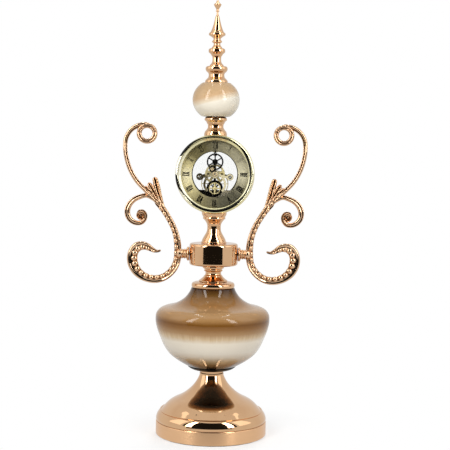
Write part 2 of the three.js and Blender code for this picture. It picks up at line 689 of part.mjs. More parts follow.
function backParts() {
  const { radius, opening, lip } = backCover;
  const rebate = backLens.radius + jointGap;
  const coverLine = [
    [rebate, coverFront], [radius, coverFront], [radius, coverBack - 1], [radius - 1, coverBack],
    [opening, coverBack], [opening, coverBack - lip], [rebate, coverBack - lip],
  ];
  const cellBore = cell.radius + jointGap;
  const cupFront = backPlateFront + plate.thickness + jointGap;
  const cup = solid(turnedY(coverLine, wideFacets))
    .add(solid(postY(cellBore + cell.wall, cupFront, coverFront + overrun, narrowFacets, 0, cell.z)));
  const stemBore = setStem.radius + boreGap;
  const tools = [
    postY(cellBore, cupFront - overrun, coverBack + overrun, narrowFacets, 0, cell.z),
    postY(stemBore, coverFront - overrun, coverBack + overrun, smallFacets, 0, setPinion.z),
  ];
  add('back_cover', yellowGold, geometryOf(cut(cup, tools)), clock);
  const lensBack = coverBack - lip - jointGap;
  add('back_lens', clear, postY(backLens.radius, lensBack - backLens.thickness, lensBack, wideFacets), clock);
  const cellFront = cupFront + jointGap;
  add('battery_cell', steel, postY(cell.radius, cellFront, cellFront + cell.thickness, narrowFacets, 0, cell.z), clock);
  const capFront = coverBack + jointGap;
  const capBack = capFront + batteryCap.thickness;
  const disc = postY(batteryCap.radius, capFront, capBack, narrowFacets, 0, cell.z);
  const plug = postY(cellBore - boreGap, cellFront + cell.thickness + jointGap, capFront + 0.5, narrowFacets, 0, cell.z);
  const slot = new THREE.BoxGeometry(3 * batteryCap.radius, 2 * batteryCap.slotDepth, batteryCap.slotWidth);
  slot.translate(0, capBack, cell.z);
  add('battery_cap', blackPlastic, geometryOf(cut(join([disc, plug]), [slot])), clock);
}

// Dial, plates and pillars
function plateParts() {
  const dialBack = dial.front + dial.thickness;
  add('dial_ring', dialBrass, ringY(dial.radius, dial.opening, dial.front, dialBack, 2 * narrowFacets), clock);
  const pipeHole = minuteArbor.radius + boreGap + hourPipe.wall + boreGap;
  add('front_plate', clear, ringY(plate.radius, pipeHole, frontPlateFront, frontPlateBack, wideFacets), clock);
  const backPlate = solid(postY(plate.radius, backPlateFront, backPlateFront + plate.thickness, wideFacets));
  const stemHole = postY(setStem.radius + boreGap, backPlateFront - overrun, 2 * backPlateFront, smallFacets, 0, setPinion.z);
  add('back_plate', clear, geometryOf(cut(backPlate, [stemHole])), clock);
  const corners = [[1, 1, 'upper_right'], [-1, 1, 'upper_left'], [1, -1, 'lower_right'], [-1, -1, 'lower_left']];
  for (const [x, z, name] of corners) {
    const post = postY(
      pillar.radius, frontPlateBack + jointGap, backPlateFront - jointGap, smallFacets,
      x * pillar.reach, z * pillar.reach,
    );
    add(`plate_pillar_${name}`, brass, post, clock);
  }
}

// A flat link between two round ends, as one outline
function link(from, to, half) {
  const way = new THREE.Vector2(to[0] - from[0], to[1] - from[1]).normalize().multiplyScalar(half);
  return new THREE.Shape([
    new THREE.Vector2(from[0] - way.y, from[1] + way.x), new THREE.Vector2(from[0] + way.y, from[1] - way.x),
    new THREE.Vector2(to[0] + way.y, to[1] - way.x), new THREE.Vector2(to[0] - way.y, to[1] + way.x),
  ]);
}

function linked(points, half, front, back) {
  const bars = points.slice(1).map((to, i) => slabY(link(points[i], to, half), front, back));
  const ends = points.map(([x, z]) => postY(half, front, back, 8, x, z));
  return [...bars, ...ends];
}

function bridgeParts() {
  const front = bridge.front;
  const back = front + bridge.thickness;
  const { eyeX, eyeZ, eyeRadius, postRadius } = bridge;
  const pieces = [postY(bridge.middle, front, back, smallFacets)];
  for (const side of [1, -1]) {
    pieces.push(postY(eyeRadius, front, back, smallFacets, side * eyeX, eyeZ));
    const prong = bridgeProng.map(([x, z]) => [side * x, z]);
    const across = [[0, 0], prong[0], [side * eyeX, eyeZ]];
    pieces.push(...linked(across, bridge.halfWidth, front, back));
    pieces.push(...linked(prong, bridge.prongHalfWidth, front, back));
  }
  const arborHole = postY(minuteArbor.radius + boreGap, front - overrun, back + overrun, smallFacets);
  add('bridge', brass, geometryOf(cut(join(pieces), [arborHole])), clock);
  for (const [side, name] of [[1, 'right'], [-1, 'left']]) {
    const post = postY(postRadius, back + jointGap, backPlateFront - jointGap, smallFacets, side * eyeX, eyeZ);
    add(`bridge_post_${name}`, brass, post, clock);
  }
}

function barParts() {
  const front = trainBar.front;
  const back = front + trainBar.thickness;
  const { eyeX, eyeZ, postRadius } = bridge;
  const upright = [[0, upperWheel.z], [0, 0], [0, secondsDrum.z]];
  const across = [[-eyeX, eyeZ], [0, 0], [eyeX, eyeZ]];
  const eyes = [[-eyeX, eyeZ], [eyeX, eyeZ]];
  const pads = eyes.map(([x, z]) => postY(postRadius + trainBar.padWall, front, back, smallFacets, x, z));
  const bars = [upright, across].flatMap((points) => linked(points, trainBar.halfWidth, front, back));
  const holes = eyes.map(([x, z]) => postY(postRadius + boreGap, front - overrun, back + overrun, smallFacets, x, z));
  add('train_bar', blackMetal, geometryOf(cut(join([...bars, ...pads]), holes)), clock);
}

function segmentPart() {
  const { radius, chord, front, thickness } = segment;
  const turn = Math.acos(chord / radius);
  const outline = new THREE.Shape();
  outline.absarc(0, 0, radius, Math.PI / 2 - turn, Math.PI / 2 + turn - 2 * Math.PI, true);
  const body = solid(slabY(outline, front, front + thickness, 14));
  const holes = [1, -1].map((side) => postY(
    pillar.radius + boreGap, front - overrun, front + thickness + overrun, smallFacets, side * pillar.reach, -pillar.reach,
  ));
  add('segment_plate', blackMetal, geometryOf(cut(body, holes)), clock);
}

// Wheels: a rim, a boss and spokes, on an arbor of their own
function wheel({ radius, rim: rimWidth, spokes, front, thickness, bossRadius }) {
  const back = front + thickness;
  const pieces = [ringY(radius, radius - rimWidth, front, back, wideFacets - 4), postY(bossRadius, front, back, smallFacets)];
  for (let i = 0; i < spokes; i += 1) {
    const turn = 2 * Math.PI * i / spokes + Math.PI / 2;
    const reach = radius - rimWidth / 2;
    pieces.push(slabY(link([0, 0], [reach * Math.cos(turn), reach * Math.sin(turn)], rimWidth * 0.4), front, back));
  }
  return pieces;
}

const raised = (pieces, z) => pieces.map((piece) => piece.translate(0, 0, z));
const arborFront = frontPlateBack + jointGap;
const barFront = trainBar.front - jointGap;

function wheelParts() {
  const upperRadius = upperWheel.z - minuteArbor.wheelRadius - runningGap;
  const upper = wheel({ ...upperWheel, radius: upperRadius, bossRadius: 2.2 });
  upper.push(postY(arborRadius, arborFront, barFront, smallFacets));
  add('upper_wheel', blackMetal, geometryOf(join(raised(upper, upperWheel.z))), clock);

  const pinionRadius = setPinion.z - upperWheel.z - upperRadius - runningGap;
  const pinion = postY(pinionRadius, upperWheel.front, upperWheel.front + setPinion.thickness, narrowFacets);
  const stemBack = coverBack + runningGap + knob.depth / 2;
  const stem = postY(setStem.radius, arborFront, stemBack, smallFacets);
  add('set_stem', brass, geometryOf(join(raised([pinion, stem], setPinion.z))), clock);

  const knobFront = coverBack + runningGap;
  const outline = new THREE.Shape(Array.from({ length: 2 * knob.grooves }, (_, i) => {
    const turn = Math.PI * i / knob.grooves;
    const reach = knob.radius - (i % 2) * knob.groove;
    return new THREE.Vector2(reach * Math.cos(turn), reach * Math.sin(turn));
  }));
  const grip = solid(slabY(outline, knobFront, knobFront + knob.depth).translate(0, 0, setPinion.z));
  const socket = postY(setStem.radius + jointGap, knobFront - overrun, stemBack + jointGap, smallFacets, 0, setPinion.z);
  add('set_knob', blackPlastic, geometryOf(cut(grip, [socket])), clock);

  const centre = wheel(centreWheel);
  const pipe = postY(centrePipe.radius, centreWheel.front - centrePipe.lead, barFront, smallFacets);
  const arborBore = postY(minuteArbor.radius + boreGap, centreWheel.front - 2 * overrun, barFront + 2 * overrun, smallFacets);
  add('centre_wheel', brass, geometryOf(cut(join([...centre, pipe]), [arborBore])), clock);

  const large = wheel({ ...largeWheel, bossRadius: 2.4 });
  const largeArbor = postY(arborRadius, trainBar.front + trainBar.thickness + jointGap, backPlateFront - jointGap, smallFacets);
  add('large_wheel', brass, geometryOf(join(raised([...large, largeArbor], largeWheel.z))), clock);

  const { bore, radius, front, thickness, spokes } = secondsDrum;
  add('seconds_drum', blackMetal, ringY(radius, bore, front, front + thickness, narrowFacets, 0, secondsDrum.z), clock);
  const cage = wheel({ radius: bore - jointGap, rim: 1.2, spokes, front, thickness: 1.2, bossRadius: 2.4 });
  cage.push(postY(arborRadius, arborFront, barFront, smallFacets));
  add('seconds_cage', brass, geometryOf(join(raised(cage, secondsDrum.z))), clock);
}

// Hands: tapered blades with a pierced heart near the tip
function handShape(length, half, heart) {
  const outline = new THREE.Shape();
  outline.moveTo(half, 0);
  outline.lineTo(half * 0.7, length - 3.2 * heart);
  outline.lineTo(heart, length - 2.2 * heart);
  outline.lineTo(half * 0.5, length - heart);
  outline.lineTo(0.15, length);
  outline.lineTo(-0.15, length);
  outline.lineTo(-half * 0.5, length - heart);
  outline.lineTo(-heart, length - 2.2 * heart);
  outline.lineTo(-half * 0.7, length - 3.2 * heart);
  outline.lineTo(-half, 0);
  return outline;
}

function handParts() {
  const { thickness, minuteFront, hourFront } = hand;
  const minuteBack = minuteFront + thickness;
  const pipeBore = minuteArbor.radius + boreGap;
  const pipeOuter = pipeBore + hourPipe.wall;
  const minute = join([
    slabY(handShape(hand.minuteLength, hand.minuteHalf, hand.minuteHeart), minuteFront, minuteBack),
    postY(hand.minuteBoss, minuteFront, minuteBack, smallFacets),
  ]);
  const arborHole = postY(pipeBore, minuteFront - overrun, minuteBack + overrun, smallFacets);
  add('minute_hand', blackMetal, geometryOf(cut(minute, [arborHole])), clock);
  const hour = join([
    slabY(handShape(hand.hourLength, hand.hourHalf, hand.hourHeart), hourFront, hourFront + thickness),
    postY(hand.hourBoss, hourFront, hourFront + thickness, smallFacets),
    postY(pipeOuter, hourFront, hourFront + hourPipe.length, smallFacets),
  ]);
  const pipeHole = postY(pipeBore, hourFront - overrun, hourFront + hourPipe.length + overrun, smallFacets);
  add('hour_hand', blackMetal, geometryOf(cut(hour, [pipeHole])), clock);

  const nutBack = minuteFront - jointGap;
  const nutFront = nutBack - handsNut.thickness;
  add('hands_nut', roseGold, ringY(handsNut.radius, pipeBore, nutFront, nutBack, smallFacets), clock);
  const cannon = postY(
    minuteArbor.wheelRadius, upperWheel.front, upperWheel.front + upperWheel.thickness, narrowFacets,
  );
  const arbor = postY(minuteArbor.radius, nutFront, barFront, smallFacets);
  add('minute_arbor', steel, geometryOf(join([cannon, arbor])), clock);

  const wheelBack = frontPlateFront - jointGap;
  const wheelFront = wheelBack - motionWheel.thickness;
  const motion = join([
    postY(motionWheel.radius, wheelFront, wheelBack, narrowFacets, motionWheel.x, motionWheel.z),
    postY(motionWheel.stud, wheelFront - 0.4, wheelBack, smallFacets, motionWheel.x, motionWheel.z),
  ]);
  add('motion_wheel', brass, geometryOf(motion), clock);
}

caseParts();
backParts();
plateParts();
bridgeParts();
barParts();
segmentPart();
wheelParts();
handParts();

export default model;
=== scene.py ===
# %% [markdown]
# # A skeleton table clock on a glazed vase
#
# This lesson dresses a finished engineering model of an ornamental table clock. From the floor up it
# has a plated foot, a glazed vase, a hub with two cast arms, a round clock insert with an open dial,
# a ceramic ball and a turned finial. The sizes are already settled in the engineering model, which
# is loaded here as a frame, so every piece below takes its place from that frame and none is
# fitted by eye. Sizes in this script are in millimetres and are turned into Blender's metres by `MM`.

# %% Load the frame and keep its box
import json
import math

import bmesh
import bpy
import numpy as np
from mathutils import Matrix, Vector
from mathutils.geometry import tessellate_polygon

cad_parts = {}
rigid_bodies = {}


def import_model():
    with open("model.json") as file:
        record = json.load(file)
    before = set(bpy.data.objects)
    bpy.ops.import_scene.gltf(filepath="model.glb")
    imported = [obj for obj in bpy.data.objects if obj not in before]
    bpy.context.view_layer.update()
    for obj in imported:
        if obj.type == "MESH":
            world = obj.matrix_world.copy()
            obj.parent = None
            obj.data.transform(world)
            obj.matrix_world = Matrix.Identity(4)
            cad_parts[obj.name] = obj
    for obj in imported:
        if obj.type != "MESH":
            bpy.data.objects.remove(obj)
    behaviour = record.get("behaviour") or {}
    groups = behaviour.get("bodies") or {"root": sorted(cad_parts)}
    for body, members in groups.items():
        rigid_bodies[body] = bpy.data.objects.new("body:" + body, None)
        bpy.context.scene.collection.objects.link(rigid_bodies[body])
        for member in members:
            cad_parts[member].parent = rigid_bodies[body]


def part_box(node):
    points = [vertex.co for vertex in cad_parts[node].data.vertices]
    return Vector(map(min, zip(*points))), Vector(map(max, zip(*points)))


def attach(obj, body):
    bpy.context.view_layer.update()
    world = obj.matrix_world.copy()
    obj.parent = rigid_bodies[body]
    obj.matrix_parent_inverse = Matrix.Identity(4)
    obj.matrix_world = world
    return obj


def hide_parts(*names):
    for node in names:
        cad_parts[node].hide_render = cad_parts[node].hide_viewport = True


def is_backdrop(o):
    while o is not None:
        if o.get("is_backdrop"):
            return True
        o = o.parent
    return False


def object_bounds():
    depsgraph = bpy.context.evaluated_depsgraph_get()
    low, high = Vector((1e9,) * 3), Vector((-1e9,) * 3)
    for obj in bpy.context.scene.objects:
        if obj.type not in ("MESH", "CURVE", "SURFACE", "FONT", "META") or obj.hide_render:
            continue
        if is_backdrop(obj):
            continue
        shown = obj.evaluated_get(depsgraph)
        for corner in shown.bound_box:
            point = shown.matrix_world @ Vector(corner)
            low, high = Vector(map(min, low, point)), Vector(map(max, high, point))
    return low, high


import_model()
cad_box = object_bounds()
MM = 0.001


def span(node):
    """Lowest and highest corner of a node of the frame, in millimetres."""
    low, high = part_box(node)
    return np.array(low) / MM, np.array(high) / MM


def as_object(name, data):
    made = bpy.data.objects.new(name, data)
    bpy.context.scene.collection.objects.link(made)
    return made


dial_low, dial_high = span("dial_ring")
DIAL_Z = (dial_low[2] + dial_high[2]) / 2


class Box:
    """A node's box as the front sees it, with its middle's height taken from the hands' axis."""

    def __init__(self, node):
        self.low, self.high = span(node)
        self.front, self.back, self.rim = self.low[1], self.high[1], self.high[0]
        self.x = (self.low[0] + self.high[0]) / 2
        self.up = (self.low[2] + self.high[2]) / 2 - DIAL_Z
        self.radius = (self.high[0] - self.low[0]) / 2


print(f"the middle of the dial is {DIAL_Z:.1f} mm above the floor")

# %% [markdown]
# ## Camera
#
# The camera comes first, because everything after it is judged through it. A long lens about a metre
# and a half away, a little above the middle of the clock, gives the flat perspective of a product
# picture. The small roll belongs to the picture too: the clock stands upright, and the camera was
# held about one degree off level.

# %% Camera
PICTURE_PIXELS = 450
FOCAL_PIXELS = 1150.0
SENSOR_MM = 36.0
CAMERA_DISTANCE = 1482.8
CAMERA_HEIGHT = 366.8
CAMERA_PITCH = 3.632
CAMERA_ROLL = 0.95
SHIFT = 0.0243

camera_data = bpy.data.cameras.new("camera")
camera_data.sensor_width = SENSOR_MM
camera_data.lens = FOCAL_PIXELS / PICTURE_PIXELS * SENSOR_MM
camera_data.shift_x = SHIFT
camera_data.clip_end = 20.0
camera = as_object("camera", camera_data)
pitch = Matrix.Rotation(math.radians(90 - CAMERA_PITCH), 4, "X")
roll = Matrix.Rotation(math.radians(CAMERA_ROLL), 4, "Z")
camera.matrix_world = Matrix.Translation((0, -CAMERA_DISTANCE * MM, CAMERA_HEIGHT * MM)) @ pitch @ roll
bpy.context.scene.camera = camera
print(f"lens {camera_data.lens:.0f} mm, {CAMERA_DISTANCE:.0f} mm away")

# %% [markdown]
# ## Writing node trees as Python
#
# Every finish here is a small piece of arithmetic on the place of a point. Wiring it by hand takes
# many Math nodes, so `Value` wraps one output socket and turns Python's operators into those nodes.
# `Graph.node` adds any other node: first its settings, then the values or links of its sockets. The
# same two classes write the Geometry Nodes trees further down.

# %% Value and Graph
class Value:
    """One output socket that can stand in a Python expression."""

    def __init__(self, graph, socket):
        self.graph, self.socket = graph, socket

    def math(self, operation, *others):
        inputs = dict(enumerate((self, *others)))
        return self.graph.node("ShaderNodeMath", {"operation": operation}, inputs)

    def flipped(self, operation, other):
        return self.graph.node("ShaderNodeMath", {"operation": operation}, {0: other, 1: self})

    def __add__(self, other):
        return self.math("ADD", other)

    def __sub__(self, other):
        return self.math("SUBTRACT", other)

    def __mul__(self, other):
        return self.math("MULTIPLY", other)

    def __truediv__(self, other):
        return self.math("DIVIDE", other)

    def __mod__(self, other):
        return self.math("MODULO", other)

    def __radd__(self, other):
        return self.flipped("ADD", other)

    def __rsub__(self, other):
        return self.flipped("SUBTRACT", other)

    def __rmul__(self, other):
        return self.flipped("MULTIPLY", other)

    def clamped(self):
        return self.math("MINIMUM", 1.0).math("MAXIMUM", 0.0)

    def rise(self, low, high):
        """0 below low, 1 above high, and a smooth slope between them."""
        return self.graph.node("ShaderNodeMapRange", {"interpolation_type": "SMOOTHSTEP"}, {
            "Value": self, "From Min": low, "From Max": high,
        })


class Graph:
    """A node tree: one method adds a node of any type, the others write the common ones."""

    def __init__(self, tree):
        self.tree = tree

    def node(self, kind, settings=None, inputs=None, out=0):
        node = self.tree.nodes.new(kind)
        for key, value in (settings or {}).items():
            setattr(node, key, value)
        for key, value in (inputs or {}).items():
            socket = self.pick(node.inputs, key)
            if isinstance(value, Value):
                self.tree.links.new(value.socket, socket)
            elif isinstance(value, list):
                for item in value:
                    self.tree.links.new(item.socket, socket)
            else:
                socket.default_value = value
        return Value(self, self.pick(node.outputs, out))

    @staticmethod
    def pick(sockets, key):
        if isinstance(key, int):
            return sockets[key]
        return next(s for s in sockets if s.name == key and not s.is_unavailable)

    def noise(self, vector, scale, detail=2.0, roughness=0.5):
        values = {"Vector": vector, "Scale": scale, "Detail": detail, "Roughness": roughness}
        return self.node("ShaderNodeTexNoise", None, values, "Fac")

    def mixed(self, factor, first, second):
        """A colour between two colours, each an RGB triple or a link."""
        a, b = ((*c, 1.0) if isinstance(c, tuple) else c for c in (first, second))
        inputs = {"Factor": factor, "A": a, "B": b}
        return self.node("ShaderNodeMix", {"data_type": "RGBA"}, inputs, "Result")

    def ramp(self, stops, share):
        """A colour ramp: stops of a place and a colour, read at share."""
        node = self.tree.nodes.new("ShaderNodeValToRGB")
        elements = node.color_ramp.elements
        elements.remove(elements[-1])
        for i, (position, colour) in enumerate(stops):
            element = elements.new(position) if i else elements[0]
            element.position, element.color = position, (*colour, 1.0)
        self.tree.links.new(share.socket, node.inputs[0])
        return Value(self, node.outputs[0])

    def vector(self, x, y, z):
        return self.node("ShaderNodeCombineXYZ", None, {0: x, 1: y, 2: z})


def srgb(red, green, blue):
    """A colour as a picture holds it, 0 to 255, as the linear triple that a shader takes."""
    def linear(c):
        c /= 255
        return c / 12.92 if c <= 0.04045 else ((c + 0.055) / 1.055) ** 2.4
    return tuple(linear(c) for c in (red, green, blue))


print("rose gold in linear light:", [round(c, 3) for c in srgb(223, 174, 129)])

# %% [markdown]
# ## A finish and its coordinates
#
# `Finish` opens a material with one Principled shader. Patterns read Object coordinates, which stay
# with the piece when it turns, in millimetres here so that the numbers are real sizes. On turned
# pieces the radius and the angle about the clock's upright axis matter more than x and y, and on the
# dial they are taken about the axis of the hands.

# %% Finish
class Finish(Graph):
    """A material with one Principled shader, and coordinates in millimetres."""

    def __init__(self, name, **values):
        self.material = bpy.data.materials.new(name)
        self.material.use_nodes = True
        super().__init__(self.material.node_tree)
        self.shader = self.tree.nodes["Principled BSDF"]
        for key, value in values.items():
            socket = self.shader.inputs[key.replace("_", " ").replace("Ior", "IOR")]
            socket.default_value = (*value, 1.0) if isinstance(value, tuple) else value

    def feed(self, **values):
        for key, value in values.items():
            self.tree.links.new(value.socket, self.shader.inputs[key.replace("_", " ")])
        return self.material

    def place(self):
        where = self.node("ShaderNodeTexCoord", None, None, "Object")
        return self.node("ShaderNodeVectorMath", {"operation": "SCALE"}, {"Vector": where, "Scale": 1 / MM})

    def parts(self, where):
        return [self.node("ShaderNodeSeparateXYZ", None, {0: where}, k) for k in range(3)]

    def bump(self, height, distance, strength=1.0):
        values = {"Height": height, "Distance": distance * MM, "Strength": strength}
        return self.node("ShaderNodeBump", None, values)

# %% [markdown]
# ## Plated metals
#
# The foot, spool, hub, neck and finial are spun or turned, polished and plated in rose gold. A
# mirror finish is nearly all reflection, so its colour goes into Base Color with Metallic at 1, and
# what makes it look real is small: a slow change of roughness where hands have wiped it, and a
# ripple far too shallow to see that keeps reflected edges from being ruler straight. The foot's ring
# is satin instead: fine lines run round it from the abrasive belt, so its noise is stretched along
# the angle and squeezed along the height.

# %% Rose gold, satin and yellow gold
ROSE = srgb(226, 184, 142)
ROSE_DEEP = srgb(208, 160, 118)
YELLOW = srgb(232, 224, 168)
YELLOW_DEEP = srgb(206, 192, 122)


def smudged(finish, where):
    """Wide soft patches, where hands have wiped the polish."""
    return finish.noise(where, 0.045, 3.0).rise(0.35, 0.75)


def polished(name, colour, deep, base_roughness):
    finish = Finish(name, Metallic=1.0)
    where = finish.place()
    smudge = smudged(finish, where)
    ripple = finish.noise(where, 0.12, 1.0)
    return finish.feed(
        Base_Color=finish.mixed(smudge * 0.35, colour, deep),
        Roughness=base_roughness + smudge * 0.05,
        Normal=finish.bump(ripple, 0.008),
    )


def belt_lines(finish, where, lines_per_mm):
    """Noise in bands that run round the upright axis."""
    x, y, z = finish.parts(where)
    around = x.math("ARCTAN2", y)
    return finish.noise(finish.vector(around * 2.0, 0.0, z * lines_per_mm), 1.0, 2.0)


def satin(name):
    finish = Finish(name, Metallic=1.0, Anisotropic=0.8, Anisotropic_Rotation=0.25)
    where = finish.place()
    lines = belt_lines(finish, where, 3.0)
    cloud = finish.noise(where, 0.03, 2.0)
    return finish.feed(
        Base_Color=finish.mixed(lines, srgb(246, 201, 156), srgb(228, 181, 137)),
        Roughness=0.25 + lines * 0.14 + cloud * 0.06,
        Normal=finish.bump(lines, 0.012),
    )


rose_gold = polished("rose_gold_polish", ROSE, ROSE_DEEP, 0.05)
yellow_gold = polished("yellow_gold_polish", YELLOW, YELLOW_DEEP, 0.06)
satin_rose = satin("rose_gold_satin")
print("plated finishes:", rose_gold.name, satin_rose.name, yellow_gold.name)

# %% [markdown]
# ## Cast and plated arms
#
# The arms are cast, tumbled and plated, so they are a little less sharp than turned work, and polish
# doesn't reach the grooves between the beads, so they are rougher. Shade is also painted into those
# grooves: an Ambient Occlusion node with a reach of a millimetre finds them from the shape itself,
# and their colour is darkened to brown there. The mask comes from the shape and not from the view,
# so the painted shade stays the same from every side.

# %% Cast rose gold
def cast_rose(name):
    finish = Finish(name, Metallic=1.0)
    where = finish.place()
    open_share = finish.node(
        "ShaderNodeAmbientOcclusion", {"samples": 8, "only_local": True}, {"Distance": 0.9 * MM}, "AO"
    )
    # painted shade: the grooves that the Ambient Occlusion node finds are darkened to brown, and made rougher
    painted_groove_shade = 1.0 - open_share.rise(0.35, 0.85)
    grain = finish.noise(where, 0.9, 2.0)
    colour = finish.mixed(grain * 0.3, srgb(226, 189, 153), srgb(208, 165, 129))
    return finish.feed(
        Base_Color=finish.mixed(painted_groove_shade, colour, srgb(142, 96, 68)),
        Roughness=0.08 + painted_groove_shade * 0.4 + grain * 0.03,
        Normal=finish.bump(grain, 0.004),
    )


arm_rose = cast_rose("rose_gold_cast")

# %% [markdown]
# ## Metals of the movement
#
# Bridge and wheels are stamped brass, lacquered, with a fine grain left by the sheet. Two wheels
# are blackened. Rods and arbors are plain steel. The three share one recipe: a colour, a grain and a
# roughness, with the grain's scale in lines to the millimetre. The bridge and the lower plate carry a
# painted reflection instead: dark on their left, where they face the room, and pale on their right.

# %% Brass, black metal and steel
def sheet_metal(name, colour, deep, roughness, metallic=1.0, grain_scale=1.4):
    finish = Finish(name, Metallic=metallic)
    where = finish.place()
    x, y, z = finish.parts(where)
    lines = finish.noise(finish.vector(x * 0.25, y, z * 3.0), grain_scale, 2.0)
    blotch = finish.noise(where, 0.25, 2.0)
    return finish.feed(
        Base_Color=finish.mixed(blotch, colour, deep),
        Roughness=roughness + lines * 0.12,
        Normal=finish.bump(lines, 0.008),
    )


brass = sheet_metal("movement_brass", srgb(246, 236, 186), srgb(216, 194, 128), 0.2, metallic=0.15)
black_metal = sheet_metal("blackened_steel", srgb(34, 29, 24), srgb(18, 15, 13), 0.3, metallic=0.7)
steel = sheet_metal("bright_steel", srgb(196, 194, 188), srgb(160, 158, 152), 0.24)
nut_gold = sheet_metal("nut_gold", srgb(240, 226, 190), srgb(226, 196, 140), 0.15, metallic=0.5)


def sheet_with_painted_reflection(name, left, right, low, high, metallic):
    """Polished sheet with a painted reflection: dark on its left, where it would mirror the room, and pale on
    its right.
    """
    finish = Finish(name, Metallic=metallic)
    where = finish.place()
    x, y, z = finish.parts(where)
    cloud = finish.noise(where, 0.12, 2.0) - 0.5
    # painted reflection: the colour goes from dark on the left to pale on the right, by x with a little noise
    share = (x + cloud * 10.0).rise(low, high)
    lines = finish.noise(finish.vector(x * 0.2, y, z * 2.4), 1.0, 2.0)
    return finish.feed(
        Base_Color=finish.mixed(share, left, right),
        Roughness=0.22 + lines * 0.14,
        Normal=finish.bump(lines, 0.008),
    )


# painted reflection on the lower plate and on the bridge: dark on the left, pale on the right
segment_metal = sheet_with_painted_reflection("segment_steel", srgb(26, 22, 15), srgb(228, 218, 190), -8.0, 12.0, 0.3)
bridge_metal = sheet_with_painted_reflection("bridge_brass", srgb(64, 54, 26), srgb(244, 232, 192), -17.0, 3.0, 0.2)
print("movement finishes:", brass.name, black_metal.name, steel.name, segment_metal.name)

# %% [markdown]
# ## Glaze
#
# Vase and ball are ceramic with a sprayed, melted glaze: brown at the top that runs into cream lower
# down, in short vertical streaks where the colours meet. The height of a point decides its colour,
# and noise that is squeezed round the piece and stretched down it moves that height up and down a
# little, which draws the streaks. A clear coat over a slightly rough body gives the deep, wet shine.

# %% Vase and ball glaze
def glaze(name, stops, low, high, fade, streaks_per_turn, ragged, lean=0.0):
    """Colours by height, from low to high, with streaks near the height called fade."""
    finish = Finish(name, Roughness=0.1, Specular_IOR_Level=0.24, Coat_Weight=0.16, Coat_Roughness=0.03)
    where = finish.place()
    x, y, z = finish.parts(where)
    around = x.math("ARCTAN2", y)
    across = finish.vector(around * (streaks_per_turn / math.tau), z * 0.02, 0.0)
    streak = finish.noise(across, 1.0, 3.0, 0.65) - 0.5
    near = 1.0 - ((z - fade).math("ABSOLUTE") / (3.2 * ragged)).clamped()
    cloud = finish.noise(where, 0.03, 2.0) - 0.5
    level = z - x * lean + streak * near * (4.0 * ragged) + cloud * ragged
    share = (level - low) / (high - low)
    placed = [((z_stop - low) / (high - low), colour) for z_stop, colour in stops]
    colour = finish.ramp(placed, share)
    speck = finish.noise(where, 1.1, 2.0).rise(0.62, 0.8)
    body = finish.mixed(speck * 0.1, colour, srgb(104, 70, 40))
    pool = finish.noise(where, 0.05, 1.0)
    return finish.feed(Base_Color=body, Normal=finish.bump(pool, 0.05, 0.6))


# The lowest stops are painted shade under the belly: below about 100 mm the colour darkens to nearly black at
# the foot.
vase_stops = [
    (90, srgb(16, 12, 9)), (91.4, srgb(26, 19, 13)), (93.2, srgb(84, 60, 36)), (98, srgb(134, 102, 64)),
    (103, srgb(174, 149, 113)), (109, srgb(205, 192, 172)), (115, srgb(220, 212, 197)),
    (128, srgb(228, 219, 202)), (134, srgb(204, 180, 145)), (140, srgb(166, 132, 92)),
    (147, srgb(134, 93, 47)), (152, srgb(112, 71, 22)), (158, srgb(157, 118, 73)),
    (166, srgb(173, 137, 95)), (173, srgb(146, 106, 62)), (180, srgb(124, 88, 46)), (186, srgb(92, 63, 27)),
    (192, srgb(52, 27, 10)),
]
vase_glaze = glaze("vase_glaze", vase_stops, 90.0, 192.0, 135.0, 150, 2.2)
ball_low, ball_high = span("ceramic_ball")
print(f"ball from {ball_low[2]:.0f} to {ball_high[2]:.0f} mm")
# %% Ball glaze, set by the ball's own height
BALL_BORDER_SHARE = 0.54
BALL_LEAN = 0.24
ball_border = ball_low[2] + BALL_BORDER_SHARE * (ball_high[2] - ball_low[2])
ball_stops = [
    (ball_low[2], srgb(204, 194, 174)), (ball_border - 18, srgb(226, 218, 200)),
    (ball_border - 5, srgb(235, 228, 212)), (ball_border - 3, srgb(229, 214, 189)),
    (ball_border + 3.4, srgb(202, 168, 128)), (ball_border + 9, srgb(194, 162, 122)),
    (ball_high[2], srgb(188, 156, 116)),
]
ball_glaze = glaze("ball_glaze", ball_stops, ball_low[2], ball_high[2], ball_border, 70, 1.3, BALL_LEAN)

# %% [markdown]
# ## Brushed dial
#
# The dial ring is sheet metal turned against fine abrasive, so its grain runs round the middle, and a
# round grain throws light back in two opposite fans: one half of the ring looks yellow and bright
# where it faces a lamp, and dark olive where it faces the room. The fans are painted here from the
# angle about the hands' axis, so they are the same in every view, and a fine bump of circles gives
# the grain itself.

# %% Dial finish
def around_dial(finish, where):
    """Angle from twelve o'clock, clockwise from the front, distance from the middle, share of a turn."""
    x, y, z = finish.parts(where)
    up = z - float(DIAL_Z)
    angle = x.math("ARCTAN2", up)
    return angle, (x * x + up * up).math("SQRT"), ((angle / math.tau) + 1.0) % 1.0


